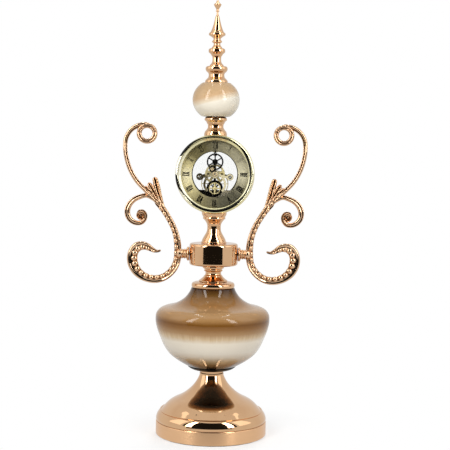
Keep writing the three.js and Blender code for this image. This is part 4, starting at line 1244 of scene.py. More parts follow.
# %% Geometry Nodes: input sockets and a runner
class Geometry(Graph):
    """A Geometry Nodes tree with named inputs, run once and turned into a plain mesh."""

    def __init__(self, name, **inputs):
        super().__init__(bpy.data.node_groups.new(name, "GeometryNodeTree"))
        face = self.tree.interface
        face.new_socket(name="Geometry", in_out="INPUT", socket_type="NodeSocketGeometry")
        face.new_socket(name="Geometry", in_out="OUTPUT", socket_type="NodeSocketGeometry")
        kinds = {
            int: "NodeSocketInt", float: "NodeSocketFloat", bpy.types.Material: "NodeSocketMaterial",
            bpy.types.Collection: "NodeSocketCollection",
        }
        for key, kind in inputs.items():
            face.new_socket(name=key, in_out="INPUT", socket_type=kinds[kind])
        self.entry = self.tree.nodes.new("NodeGroupInput")

    def given(self, key):
        return Value(self, self.pick(self.entry.outputs, key))

    def attribute(self, name, kind="FLOAT"):
        return self.node("GeometryNodeInputNamedAttribute", {"data_type": kind}, {"Name": name}, "Attribute")

    def finish(self, shape, material):
        real = self.node("GeometryNodeRealizeInstances", None, {0: shape})
        dressed = self.node("GeometryNodeSetMaterial", None, {"Geometry": real, "Material": material})
        leave = self.tree.nodes.new("NodeGroupOutput")
        self.tree.links.new(dressed.socket, leave.inputs[0])

    def run(self, name, base, **values):
        """A mesh made by the tree on a base mesh, with its inputs set by their identifiers."""
        holder = as_object(name + "_base", base)
        step = holder.modifiers.new("tree", "NODES")
        step.node_group = self.tree
        for item in self.tree.interface.items_tree:
            if item.item_type == "SOCKET" and item.in_out == "INPUT" and item.name in values:
                step[item.identifier] = values[item.name]
        holder.update_tag()
        mesh = baked(holder)
        mesh.name = name
        return mesh


# %% The bead tree
def mark(mesh, name, values, kind="FLOAT"):
    """Writes one value on every point of a mesh, for a tree to read."""
    mesh.attributes.new(name, kind, "POINT").data.foreach_set("value", values)


BEAD_LENGTHS = ("bead_length", "bead_depth", "bead_width")


def bead_tree():
    tree = Geometry("bead_row", Finish=bpy.types.Material, Subdivisions=int)
    ball = tree.node("GeometryNodeMeshIcoSphere", None, {
        "Radius": 1.0, "Subdivisions": tree.given("Subdivisions"),
    }, "Mesh")
    size = tree.vector(*[tree.attribute(key) for key in BEAD_LENGTHS])
    row = tree.node("GeometryNodeInstanceOnPoints", None, {
        "Points": tree.given("Geometry"), "Instance": ball, "Scale": size,
        "Rotation": tree.vector(0.0, tree.attribute("bead_turn"), 0.0),
    })
    tree.finish(row, tree.given("Finish"))
    return tree


# %% Beads on the band
BEAD_COUNT = 26
BEAD_START, BEAD_END = 0.075, 0.955
BEAD_DEPTH = 3.9
BEAD_SHARE = 0.68
BEAD_PROUD = 0.3
BAND_STEPS = 400


def bead_mesh():
    points, way, share, length = along(band_route, BAND_STEPS)
    half = by_route_point(band_route, band_halves, share)
    pitch = length * (BEAD_END - BEAD_START) / (BEAD_COUNT - 1)
    verts, sizes, turns = [], [], []
    for place in np.linspace(BEAD_START, BEAD_END, BEAD_COUNT):
        k = int(round(place * BAND_STEPS))
        (x, z), (dx, dz), h = points[k], way[k], half[k]
        width = h * BEAD_SHARE
        offset = h - width + BEAD_PROUD
        verts.append((x - dz * offset, 0.0, z + dx * offset))
        sizes.append((0.5 * pitch * min(1.0, width / 2.2), min(BEAD_DEPTH, 1.4 * width), width))
        turns.append(-math.atan2(dz, dx))
    mesh = new_mesh("bead_points", verts)
    for key, values in zip(BEAD_LENGTHS, np.array(sizes).T * MM):
        mark(mesh, key, values)
    mark(mesh, "bead_turn", turns)
    print(f"{BEAD_COUNT} beads on {length:.0f} mm of band, one each {pitch:.1f} mm")
    return bead_tree().run("beads", mesh, Finish=arm_rose, Subdivisions=3)


# %% [markdown]
# ## Fusing the casting
#
# Strips, beads, the eye, the bud of the scroll and the boss for the screw become one mesh by union.
# The left arm is the right one mirrored, so its normals are recalculated.

# %% Eye, bud and boss
EYE_OUT, EYE_UP, EYE_RADIUS, EYE_HOLE = 46.7, 154.3, 13.4, 6.9
eye_runs = chain(
    (EYE_HOLE, -2.6),
    [(7.6, -3.6), (8.6, -3.9), (9.5, -3.2)],
    (9.9, -2.3),
    [(10.5, -3.4), (11.7, -3.9), (12.8, -3.0), (EYE_RADIUS, -1.2)],
    (EYE_RADIUS, 1.2),
    [(12.8, 3.0), (11.7, 3.9), (10.5, 3.4), (9.9, 2.3)],
    (9.5, 3.2),
    [(8.6, 3.9), (7.6, 3.6), (EYE_HOLE, 2.6)],
    (EYE_HOLE, -2.6),
)


def eye_mesh():
    line = outline(eye_runs, 0.4, 0.1, closed=True)
    return revolve("eye", line, 96, "Y", (BOSS_X + EYE_OUT, 0, HUB_Z + EYE_UP))


BUD_OUT, BUD_UP = 53.2, 49.0


def bud_mesh():
    """The middle of the scroll: a small button with a ring turned into both faces."""
    half = [
        (0, 4.6), (0.9, 4.3), (1.4, 3.2), (1.8, 2.7), (2.3, 3.5), (2.9, 3.6), (3.4, 2.7), (3.8, 2.4),
        (4.3, 3.3), (4.9, 3.4), (5.5, 2.6), (6.2, 1.4),
    ]
    line = [*[(r, -y) for r, y in half], *half[::-1]]
    return revolve("bud", line, 64, "Y", (BOSS_X + BUD_OUT, 0, HUB_Z + BUD_UP), closed=False)


BOSS_RADIUS = 6.5
STUD_IN_ARM = 6.0


def boss_mesh():
    line = outline(chain(
        (0, BOSS_X), (BOSS_RADIUS - 0.4, BOSS_X),
        [(BOSS_RADIUS, BOSS_X + 0.5), (BOSS_RADIUS, BOSS_X + 3.6)],
        [(5.2, BOSS_X + 5.6), (3.4, BOSS_X + 6.6), (0, BOSS_X + 6.9)],
    ), 0.5, 0.1)
    return revolve("boss", line, 64, "X", (0, 0, HUB_Z), closed=False)


# %% The whole casting, right and left
def arm_mesh():
    strips = [
        swept("band", band_route, band_halves, rail_ridges, 1.7, 260),
        swept("stem", stem_route, stem_halves, two_ridges, 1.2, 200),
        swept("scroll", scroll_route, scroll_halves, two_ridges, 1.2, 170),
        *[swept("petal", route, halves, trough_ridges, 0.9, 60) for route, halves in petal_routes],
        eye_mesh(), bud_mesh(), boss_mesh(), bead_mesh(),
    ]
    drill = cylinder(stud_radius, BOSS_X - 1, BOSS_X + STUD_IN_ARM, "X", (0, 0, HUB_Z))
    return carved(fused(*strips), drill)


right_arm = arm_mesh()
left_arm = right_arm.copy()
left_arm.transform(Matrix.Scale(-1, 4, (1, 0, 0)))
for side, mesh in (("right", right_arm), ("left", left_arm)):
    mesh = tidy_faces(mesh, sharp_angle=42.0)
    hand_over(f"arm_{side}_cast", mesh, arm_rose, "rose_gold", "stand", f"arm_{side}")

# %% [markdown]
# ## Spindles
#
# A short turned spindle joins each arm to the hub: a disc against the hub, a neck with a bead in its
# middle, and a foot against the arm's boss.

# %% Spindles
spindle_start = span("arm_spindle_right")[0][0]
spindle_line = outline(chain(
    (8.2, 0),
    [(9.0, 0.6), (9.0, 2.0), (8.4, 2.8)],
    (7.4, 3.2),
    [(6.2, 4.0), (5.7, 4.9)],
    [(6.3, 5.3), (6.5, 5.9), (6.2, 6.5)],
    (5.7, 6.9),
    [(5.9, 8.2), (6.5, 9.0)],
    (6.5, 9.4), (stud_radius, 9.4), (stud_radius, 0), (8.2, 0),
), 0.3, 0.12, closed=True)
for side, sign in (("right", 1), ("left", -1)):
    placed = [(r, sign * (spindle_start + x)) for r, x in spindle_line]
    mesh = revolve(f"spindle_{side}", placed, 96, "X", (0, 0, HUB_Z))
    hand_over(f"spindle_{side}", mesh, rose_gold, "rose_gold", "stand", f"arm_spindle_{side}")


# %% [markdown]
# ## Clock insert: case
#
# The clock is a bought-in insert that a dealer can order by its opening: a drum, a polished ring in
# front that holds the lens, a cover behind, and the movement between two clear plates. All of the case
# is turned about the hands' axis, so the same outlines are used with the axis laid along Y. The
# front ring is the eye-catcher. Its round lip turns the whole room into thin bright and dark
# rings, and the flat cone inside it mirrors the dial's surroundings as one yellow band.

# %% Pieces turned about the hands' axis
def ring_mesh(name, runs, facets=240, corner=0.15, step=0.5, centre=(0.0, 0.0), closed=True):
    """An outline of [radius, level] runs, swung about an axis along Y through centre, [x, up]."""
    line = outline(runs, step, corner, closed)
    return revolve(name, line, facets, "Y", (centre[0], 0, DIAL_Z + centre[1]), closed)


def post_mesh(radius, low, high, centre=(0.0, 0.0), facets=48):
    return cylinder(radius, low, high, "Y", (centre[0], 0, DIAL_Z + centre[1]), facets)


lens_box = Box("front_lens")
BEZEL_OPENING = 43.5
SEAT_GAP = 0.3
LENS_FRONT_GAP = 0.15
front, back, rim = bezel.front, bezel.back, bezel.rim
seat_radius, seat_level = lens_box.rim + SEAT_GAP, lens_box.front - LENS_FRONT_GAP
bezel_runs = chain(
    (seat_radius, back), (rim - 0.5, back), (rim, back - 0.5), (rim, back - 2.2),
    (rim - 0.35, back - 2.7), (rim, back - 3.3),
    [
        (rim - 0.15, front + 2.6), (rim - 0.75, front + 1.15), (rim - 1.7, front + 0.3),
        (rim - 2.7, front), (rim - 3.25, front + 0.25), (rim - 3.6, front + 0.9),
    ],
    (rim - 3.75, front + 2.4), (rim - 4.3, front + 2.2),
    [(BEZEL_OPENING + 1.2, front + 3.7), (BEZEL_OPENING, seat_level - 0.55)],
    (BEZEL_OPENING, seat_level), (seat_radius, seat_level), (seat_radius, back),
)
bezel_mesh = ring_mesh("bezel", bezel_runs, facets=288, corner=0.08, step=0.3)
hand_over("bezel_polished", bezel_mesh, bezel_gold, "yellow_gold", "stand", "bezel")

# %% Drum of the case, bored for both rods
DRUM_BORE = 44.8
GROOVE, GROOVE_PITCH = 0.7, 8.6
front, back, rim = drum.front, drum.back, drum.rim
drum_runs = [[(DRUM_BORE, front), (rim, front)]]
level = front
for middle in (-GROOVE_PITCH, 0.0, GROOVE_PITCH):
    groove = [(rim, middle - GROOVE), (rim - GROOVE, middle), (rim, middle + GROOVE)]
    drum_runs += [[(rim, level), groove[0]], groove]
    level = middle + GROOVE
drum_runs += chain((rim, level), (rim, back), (DRUM_BORE, back), (DRUM_BORE, front))
rod_holes = [
    cylinder(lower_bore, DIAL_Z - rim - 3, DIAL_Z - DRUM_BORE + 2, "Z"),
    cylinder(upper_bore, DIAL_Z + DRUM_BORE - 2, DIAL_Z + rim + 3, "Z"),
]
drum_mesh = tidy_faces(carved(ring_mesh("drum", drum_runs, step=0.4), *rod_holes))
hand_over("case_drum_polished", drum_mesh, yellow_gold, "yellow_gold", "stand", "case_drum")

# %% [markdown]
# ## Back of the case
#
# The cover behind has a wide opening with a lens of its own, so that daylight falls through the
# movement. Below the opening it carries the cup of the button cell, closed by a black cap with a coin
# slot, and above it the setting knob. A coin's slot is cut, and the knob's grip is a ring of
# rounded teeth from the same tree that makes the wheels further down.

# %% Back cover and battery cap
cell_box = Box("battery_cell")
CELL_Z = cell_box.up
CUP_BORE, CUP_WALL = cell_box.rim + SEAT_GAP, 0.7
back_lens_box = Box("back_lens")
COVER_OPENING = 29.0
stem_box = Box("set_stem")
STEM_Z = stem_box.up
STEM_RADIUS = 1.5
front, back, rim = drum.back + SEAT_GAP, cover.back, cover.rim
seat_radius, seat_level = back_lens_box.rim + SEAT_GAP, back_lens_box.back + SEAT_GAP
cover_runs = chain(
    (seat_radius, front), (rim, front), (rim, front + 1.6),
    [(rim - 0.4, back - 0.6), (rim - 1.3, back)],
    (rim - 3.0, back),
    [(rim - 3.5, back - 0.5), (rim - 4.0, back)],
    (COVER_OPENING + 2.2, back),
    [(COVER_OPENING + 0.6, back - 0.4), (COVER_OPENING, seat_level + 0.4)],
    (COVER_OPENING, seat_level), (seat_radius, seat_level), (seat_radius, front),
)
cup = post_mesh(CUP_BORE + CUP_WALL, cover.front, front + 1, (0, CELL_Z), 96)
cover_mesh = carved(
    fused(ring_mesh("cover", cover_runs, corner=0.1, step=0.4), cup),
    post_mesh(CUP_BORE, cover.front - 1, back + 1, (0, CELL_Z), 96),
    post_mesh(STEM_RADIUS + SEAT_GAP, front - 1, back + 1, (0, STEM_Z)),
)
hand_over("back_cover_polished", tidy_faces(cover_mesh), yellow_gold, "yellow_gold", "stand", "back_cover")

# %% Battery cap with its coin slot
battery_box = Box("battery_cap")
cap_radius, plug_radius = battery_box.rim, CUP_BORE - 0.2
cap_face, cap_seat = battery_box.back, battery_box.back - 1.6
SLOT_LONG, SLOT_WIDE, SLOT_DEEP = 11.0, 1.6, 1.0
battery_runs = chain(
    (0, battery_box.front), (plug_radius, battery_box.front), (plug_radius, cap_seat),
    (cap_radius, cap_seat), (cap_radius, cap_face - 0.4), (cap_radius - 0.6, cap_face),
    (cap_radius - 1.2, cap_face - 0.3), (0, cap_face - 0.2),
)


def slab(name, loops, front, back):
    """A flat plate in the dial's plane. Loops of [x, up] from the hands' axis: its edge, then its holes."""
    flat = [[Vector((x, up, 0)) for x, up in loop] for loop in loops]
    caps = tessellate_polygon(flat)
    points = [point for loop in flat for point in loop]
    count = len(points)
    verts = [(p.x, level, DIAL_Z + p.y) for level in (front, back) for p in points]
    faces = [tuple(cap) for cap in caps] + [tuple(i + count for i in cap) for cap in caps]
    start = 0
    for loop in flat:
        ring = [start + i for i in range(len(loop))]
        faces += [(a, b, b + count, a + count) for a, b in zip(ring, ring[1:] + ring[:1])]
        start += len(loop)
    return clean_mesh(name, verts, faces)


slot_loop = [
    (side * SLOT_LONG / 2, CELL_Z + rise * SLOT_WIDE / 2)
    for side, rise in ((-1, -1), (1, -1), (1, 1), (-1, 1))
]
battery_mesh = tidy_faces(carved(
    ring_mesh("battery_cap", battery_runs, 96, 0.1, 0.4, (0, CELL_Z), closed=False),
    slab("coin_slot", [slot_loop], cap_face - SLOT_DEEP, cap_face + 1),
))
hand_over("battery_cap_moulded", battery_mesh, black_plastic, "black_plastic", "battery_door", "battery_cap")

# %% [markdown]
# ## Dial ring and its numerals
#
# The dial is a flat ring of brushed sheet. Its hours are Roman numerals, printed in black with their
# feet to the middle. Each numeral is spelled from three shapes: an I, a V and an X. Geometry
# Nodes suit this well: one point stands where each letter goes and carries the letter's number, its
# turn and its squeeze, and Pick Instance puts the right shape on it.

# %% Dial ring
DIAL_OPENING = 29.75
dial_front, dial_back, dial_rim = dial_low[1], dial_high[1], dial_high[0]
dial_runs = chain(
    (DIAL_OPENING, dial_front), (dial_rim, dial_front), (dial_rim, dial_back), (DIAL_OPENING, dial_back),
    (DIAL_OPENING, dial_front),
)
dial_mesh = ring_mesh("dial", dial_runs, facets=288, corner=0.1)
hand_over("dial_ring_brushed", dial_mesh, dial_brass, "dial_brass", "stand", "dial_ring")


# %% Letter shapes
def stroke(start, end, width):
    """The four corners of a straight stroke, cut level at both ends."""
    half = width / 2
    (x, foot), (end_x, head) = start, end
    return [(x - half, foot), (x + half, foot), (end_x + half, head), (end_x - half, head)]


def serif(middle, up, reach=1.0, thick=0.6):
    edge = up - thick if up > 0 else up + thick
    return [(middle - reach, up), (middle + reach, up), (middle + reach, edge), (middle - reach, edge)]


LETTER_HALF = 4.6
THICK, THIN, SPREAD = 1.35, 1.15, 1.2
PRINT_DEPTH = 0.12
top, foot = LETTER_HALF, -LETTER_HALF
letter_strokes = {
    "a_stroke": [stroke((0, foot), (0, top), THICK), serif(0, top, 0.78), serif(0, foot, 0.78)],
    "b_vee": [
        stroke((0.1, foot), (-SPREAD, top), THICK), stroke((0, foot), (SPREAD, top), THIN),
        serif(-SPREAD, top, 0.9), serif(SPREAD, top, 0.7),
    ],
    "c_cross": [
        stroke((SPREAD, foot), (-SPREAD, top), THICK), stroke((-SPREAD, foot), (SPREAD, top), THIN),
        serif(-SPREAD, top, 0.9), serif(SPREAD, top, 0.7),
        serif(-SPREAD, foot, 0.7), serif(SPREAD, foot, 0.9),
    ],
}
LETTER_SPACE = {"I": 1.7, "V": 3.8, "X": 3.8}
LETTER_INDEX = {"I": 0, "V": 1, "X": 2}
HOURS = ["XII", "I", "II", "III", "IIII", "V", "VI", "VII", "VIII", "IX", "X", "XI"]
NUMERAL_MIDDLE = 37.1
NUMERAL_WIDEST = 6.8


def upright(mesh, back, up=0.0):
    """Lifts a mesh from the XY plane into the dial's plane, its foot at the level back."""
    place = Matrix.Translation(Vector((0, back, DIAL_Z + up)) * MM)
    mesh.transform(place @ Matrix.Rotation(math.pi / 2, 4, "X"))


def letter_objects():
    """The three letters as objects in a collection, flat in the XY plane."""
    shelf = bpy.data.collections.new("letters")
    for name, strokes in letter_strokes.items():
        parts = [slab(name, [loop], 0.0, PRINT_DEPTH) for loop in strokes]
        letter = fused(*parts)
        letter.transform(Matrix.Rotation(-math.pi / 2, 4, "X") @ Matrix.Translation((0, 0, -DIAL_Z * MM)))
        shelf.objects.link(bpy.data.objects.new(name, letter))
    return shelf


# %% A point for every letter
def letter_points():
    """One point for each letter of the twelve hours, with what the tree has to know about it."""
    verts, letters, turns, squeezes = [], [], [], []
    for hour, word in enumerate(HOURS):
        whole = sum(LETTER_SPACE[letter] for letter in word)
        squeeze = min(1.0, NUMERAL_WIDEST / whole)
        turn = hour * math.tau / len(HOURS)
        across = -whole / 2
        for letter in word:
            at = (across + LETTER_SPACE[letter] / 2) * squeeze
            across += LETTER_SPACE[letter]
            x = NUMERAL_MIDDLE * math.sin(turn) + at * math.cos(turn)
            up = NUMERAL_MIDDLE * math.cos(turn) - at * math.sin(turn)
            verts.append((x, up, 0))
            letters.append(LETTER_INDEX[letter])
            turns.append(-turn)
            squeezes.append(squeeze)
    mesh = new_mesh("letter_points", verts)
    mark(mesh, "letter", letters, "INT")
    mark(mesh, "turn", turns)
    mark(mesh, "squeeze", squeezes)
    print(len(verts), "letters for", len(HOURS), "hours")
    return mesh


# %% The tree that sets the letters
def numeral_tree():
    tree = Geometry("numeral_ring", Letters=bpy.types.Collection, Finish=bpy.types.Material)
    shapes = tree.node(
        "GeometryNodeCollectionInfo", {"transform_space": "ORIGINAL"},
        {"Collection": tree.given("Letters"), "Separate Children": True, "Reset Children": True},
    )
    row = tree.node("GeometryNodeInstanceOnPoints", None, {
        "Points": tree.given("Geometry"), "Instance": shapes, "Pick Instance": True,
        "Instance Index": tree.attribute("letter", "INT"),
        "Rotation": tree.vector(0.0, 0.0, tree.attribute("turn")),
        "Scale": tree.vector(tree.attribute("squeeze"), 1.0, 1.0),
    })
    tree.finish(row, tree.given("Finish"))
    return tree


print_black = grained("printed_black", srgb(16, 14, 10), srgb(9, 8, 6), 0.6, 3.0, 0.004, gloss=0.05)
letters = letter_objects()
numeral_mesh = numeral_tree().run("numerals", letter_points(), Letters=letters, Finish=print_black)
for made in list(letters.objects):
    bpy.data.objects.remove(made)
bpy.data.collections.remove(letters)
upright(numeral_mesh, dial_front)
hand_over("dial_numerals", tidy_faces(numeral_mesh), print_black, "black_metal", "stand")

# %% [markdown]
# ## Wheels
#
# A clock wheel is punched from sheet: a toothed edge, windows that leave the spokes between them, and
# a bore. One Geometry Nodes tree makes them all. It bends a circle of points in and out for
# the teeth, turns one window outline round the middle as often as there are spokes, fills what lies
# between these curves and raises it to the sheet's thickness. The same tree gives the pinions and
# the knob's grip, which have no windows. Boss and arbor are joined on afterwards.

# %% The wheel tree
POINTS_PER_TOOTH = 8
TOOTH_HALF, TOOTH_FLANK = 0.29, 0.16


def wheel_tree():
    tree = Geometry(
        "toothed_wheel", Teeth=int, Root=float, Height=float, Bore=float, Windows=int, Thickness=float,
        Finish=bpy.types.Material,
    )
    given = tree.given
    points = given("Teeth") * POINTS_PER_TOOTH
    circle = tree.node("GeometryNodeCurvePrimitiveCircle", None, {"Resolution": points}, "Curve")
    index = tree.node("GeometryNodeInputIndex")
    phase = (index % POINTS_PER_TOOTH) / POINTS_PER_TOOTH
    tooth = ((TOOTH_HALF - (phase - 0.5).math("ABSOLUTE")) / TOOTH_FLANK).clamped()
    place = tree.node("GeometryNodeInputPosition")
    outwards = tree.node("ShaderNodeVectorMath", {"operation": "NORMALIZE"}, {0: place})
    reach = given("Root") + given("Height") * tooth
    spot = tree.node("ShaderNodeVectorMath", {"operation": "SCALE"}, {0: outwards, "Scale": reach})
    edge = tree.node("GeometryNodeSetPosition", None, {"Geometry": circle, "Position": spot})
    bore = tree.node(
        "GeometryNodeCurvePrimitiveCircle", None, {"Resolution": 48, "Radius": given("Bore")}, "Curve",
    )
    window = tree.node("GeometryNodeMeshToCurve", None, {"Mesh": given("Geometry")})
    spots = tree.node("GeometryNodePoints", None, {"Count": given("Windows")})
    turn = index * math.tau / given("Windows").math("MAXIMUM", 1.0)
    windows = tree.node("GeometryNodeInstanceOnPoints", None, {
        "Points": spots, "Instance": window, "Rotation": tree.vector(0.0, 0.0, turn),
    })
    windows = tree.node("GeometryNodeRealizeInstances", None, {0: windows})
    curves = tree.node("GeometryNodeJoinGeometry", None, {0: [edge, bore, windows]})
    sheet = tree.node("GeometryNodeFillCurve", None, {"Curve": curves})
    raised = tree.node("GeometryNodeExtrudeMesh", {"mode": "FACES"}, {
        "Mesh": sheet, "Offset Scale": given("Thickness"), "Individual": False,
    }, "Mesh")
    under = tree.node("GeometryNodeFlipFaces", None, {0: sheet})
    both = tree.node("GeometryNodeJoinGeometry", None, {0: [raised, under]})
    whole = tree.node("GeometryNodeMergeByDistance", None, {"Geometry": both, "Distance": MERGE})
    tree.finish(whole, given("Finish"))
    return tree


# %% Wheels from the tree
wheels = wheel_tree()
ARC_STEPS = 16


def window_outline(inner, outer, spokes, half_spoke):
    """The edge of one window between two spokes, as a closed loop in the XY plane."""
    if not spokes:
        return new_mesh("window", [])
    sector = math.tau / spokes
    loop = []
    for radius, order in ((outer, 1), (inner, -1)):
        shy = math.asin(half_spoke / radius)
        turns = np.linspace(shy, sector - shy, ARC_STEPS) + math.pi / 2
        loop += [(radius * math.cos(t), radius * math.sin(t), 0) for t in turns[::order]]
    count = len(loop)
    return new_mesh("window", loop, edges=[(i, (i + 1) % count) for i in range(count)])


def wheel_mesh(
    radius, teeth, tooth, front, back, up, material, bore=0.8, spokes=0, rim=1.5, hub=2.4, half_spoke=0.7,
):
    """A toothed wheel between two levels, its middle at up above the hands' axis."""
    window = window_outline(hub, radius - tooth - rim, spokes, half_spoke)
    mesh = wheels.run(
        "wheel", window, Teeth=teeth, Root=(radius - tooth) * MM, Height=tooth * MM, Bore=bore * MM,
        Windows=spokes, Thickness=(back - front) * MM, Finish=material,
    )
    upright(mesh, back, up)
    return mesh


FLAT_DEGREES, EASED_DEGREES = 1.0, 35.0


def eased(mesh, width, segments=2):
    """Edges broken by a small round, with a Bevel modifier that is used once."""
    flatten = bmesh.new()
    flatten.from_mesh(mesh)
    bmesh.ops.remove_doubles(flatten, verts=flatten.verts, dist=MERGE)
    flat = math.radians(FLAT_DEGREES)
    bmesh.ops.dissolve_limit(flatten, angle_limit=flat, verts=flatten.verts, edges=flatten.edges)
    flatten.to_mesh(mesh)
    flatten.free()
    base = as_object("eased_base", mesh)
    step = base.modifiers.new("ease", "BEVEL")
    step.width, step.segments, step.limit_method = width * MM, segments, "ANGLE"
    step.angle_limit = math.radians(EASED_DEGREES)
    return tidy_faces(baked(base))


def arbor(radius, low, high, up=0.0):
    return post_mesh(radius, low, high, (0, up))


# %% The going train
upper_box = Box("upper_wheel")
UPPER_Z = upper_box.up
minute_box = Box("minute_arbor")
drum_ring_box = Box("seconds_drum")
SECONDS_Z = drum_ring_box.up
centre_box = Box("centre_wheel")
large_box = Box("large_wheel")
LARGE_Z = large_box.up
ARBOR = 0.9
HOLE_IN_PIPE = 1.15
SHEET = 1.0
wheel_front = drum_ring_box.front
TOOTH = 0.6

upper = wheel_mesh(
    upper_box.rim, 60, TOOTH, wheel_front, wheel_front + SHEET, UPPER_Z, black_metal,
    spokes=6, rim=1.7, hub=3.6, half_spoke=0.8,
)
upper = fused(
    upper, arbor(ARBOR, upper_box.front, upper_box.back, UPPER_Z),
    arbor(1.9, wheel_front - 0.4, wheel_front + 1.6, UPPER_Z),
)
hand_over("wheel_upper_black", eased(upper, 0.08), black_metal, "black_metal", "upper_work", "upper_wheel")

CANNON = 0.95
cannon = wheel_mesh(minute_box.rim, 20, 0.9, wheel_front, wheel_front + SHEET, 0.0, steel)
cannon = fused(cannon, arbor(CANNON, minute_box.front, minute_box.back))
hand_over("arbor_of_minutes", eased(cannon, 0.06), steel, "steel", "minute_work", "minute_arbor")

PIPE_RADIUS = 2.4
centre_front = centre_box.front + 0.6
centre = wheel_mesh(
    centre_box.rim, 72, TOOTH, centre_front, centre_front + SHEET, 0.0, brass,
    bore=1.2, spokes=5, rim=2.4, hub=4.4, half_spoke=1.7,
)
centre = fused(centre, arbor(PIPE_RADIUS, centre_box.front, centre_box.back))
centre = carved(centre, arbor(HOLE_IN_PIPE, centre_box.front - 1, centre_box.back + 1))
hand_over("wheel_centre_brass", eased(centre, 0.08), brass, "brass", "centre_work", "centre_wheel")

large = wheel_mesh(
    large_box.rim, 110, 0.5, large_box.front + 0.1, large_box.front + 0.8, LARGE_Z, brass,
    spokes=4, rim=0.8, hub=2.6, half_spoke=0.5,
)
large = fused(large, arbor(ARBOR, large_box.front, large_box.back, LARGE_Z))
hand_over("wheel_large_brass", eased(large, 0.05), brass, "brass", "large_work", "large_wheel")

stem = wheel_mesh(stem_box.rim, 36, TOOTH, wheel_front, wheel_front + 1.4, STEM_Z, brass)
stem = fused(stem, arbor(STEM_RADIUS, stem_box.front, stem_box.back, STEM_Z))
hand_over("stem_of_setting", eased(stem, 0.08), brass, "brass", "setting_work", "set_stem")

knob_box = Box("set_knob")
KNOB_CORE, KNOB_DISH, KNOB_DISH_DEEP = 3.0, 4.6, 0.5
knob = wheel_mesh(knob_box.rim, 20, 0.55, knob_box.front, knob_box.back, STEM_Z, black_plastic)
knob = carved(
    fused(knob, arbor(KNOB_CORE, knob_box.front, knob_box.back, STEM_Z)),
    arbor(STEM_RADIUS + SEAT_GAP, knob_box.front - 1, stem_box.back + SEAT_GAP, STEM_Z),
    arbor(KNOB_DISH, knob_box.back - KNOB_DISH_DEEP, knob_box.back + 1, STEM_Z),
)
hand_over("knob_moulded", eased(knob, 0.25, 3), black_plastic, "black_plastic", "setting_work", "set_knob")

# %% [markdown]
# ## Seconds drum and the small wheel in front
#
# At the bottom of the train turns a black drum with a gilt cage inside it, once a minute: it is what
# catches the eye on a skeleton dial. Its face is stepped, so that it shows two thin rings of light.
# The small dark wheel with the bright stud beside the hands carries the motion from minutes to hours.

# %% Seconds drum, cage and motion wheel
DRUM_RING_BORE = 7.8
NO_TOOTH = 0.01
STUD_CIRCLE, STUD_RADIUS = 4.9, 0.75
front, back, rim = drum_ring_box.front, drum_ring_box.back, drum_ring_box.rim
ring_runs = chain(
    (DRUM_RING_BORE, front + 0.7), (DRUM_RING_BORE + 0.9, front), (rim - 0.9, front),
    [(rim - 0.2, front + 0.5), (rim, front + 1.2)],
    (rim, back), (DRUM_RING_BORE, back), (DRUM_RING_BORE, front + 0.7),
)
drum_ring = ring_mesh("seconds_drum", ring_runs, 144, 0.1, 0.3, (0, SECONDS_Z))
spider = wheel_mesh(
    DRUM_RING_BORE + 0.4, 24, NO_TOOTH, wheel_front + 1.3, wheel_front + 1.9, SECONDS_Z, black_metal,
    bore=1.2, spokes=8, rim=1.9, hub=3.6, half_spoke=0.9,
)
drum_ring = tidy_faces(fused(drum_ring, spider))
hand_over("seconds_drum_black", drum_ring, black_metal, "black_metal", "seconds_work", "seconds_drum")

cage_box = Box("seconds_cage")
cage = wheel_mesh(
    cage_box.rim, 24, NO_TOOTH, wheel_front, wheel_front + 1.2, SECONDS_Z, brass,
    spokes=4, rim=0.9, hub=2.7, half_spoke=0.8,
)
stud_places = [
    (STUD_CIRCLE * math.cos(t), SECONDS_Z + STUD_CIRCLE * math.sin(t))
    for t in np.radians([90, 180, 270, 360])
]
cage = fused(
    cage, arbor(ARBOR, cage_box.front, cage_box.back, SECONDS_Z),
    arbor(1.7, wheel_front - 0.5, wheel_front + 1.6, SECONDS_Z),
    *[post_mesh(STUD_RADIUS, wheel_front - 0.3, wheel_front + 1.0, place) for place in stud_places],
)
hand_over("seconds_cage_gilt", eased(cage, 0.08), brass, "brass", "seconds_work", "seconds_cage")

motion_box = Box("motion_wheel")
front, back = motion_box.front, motion_box.back
motion = wheel_mesh(motion_box.radius, 30, 0.5, back - 0.5, back, motion_box.up, black_metal)
motion.transform(Matrix.Translation((motion_box.x * MM, 0, 0)))
hand_over("wheel_motion_black", eased(motion, 0.05), black_metal, "brass", "motion_work", "motion_wheel")
STUD_RING = 2.4
stud_runs = chain(
    (0, back - 0.3), (STUD_RING, back - 0.3), (STUD_RING, front + 0.3), (STUD_RING - 0.4, front),
    (1.2, front), (0.9, front + 0.25), (0, front + 0.25),
)
stud = ring_mesh("motion_stud", stud_runs, 72, 0.05, 0.3, (motion_box.x, motion_box.up), closed=False)
hand_over("motion_stud_bright", stud, nut_gold, "brass", "motion_work", "motion_wheel")

# %% [markdown]
# ## Bridge, bars and posts
#
# The bridge in front carries the arbors. It is sawn from brass plate, with an eye at each end for its
# post and two prongs that run down round the seconds drum. A dark train bar crosses behind, and
# the lower plate is a segment of polished steel. Bridge and lower plate have a painted reflection:
# dark on their left and pale on their right. Each is a few outlines with round ends, raised and
# joined. The posts are plain turned rods with a groove near each end.

# %% Bridge
bridge_box = Box("bridge")
post_box = Box("bridge_post_right")
EYE_X = post_box.x
EYE_Z = post_box.up
BRIDGE_EYE, BRIDGE_MIDDLE = 4.1, 5.2
EYE_PLACES = [(EYE_X, EYE_Z), (-EYE_X, EYE_Z)]


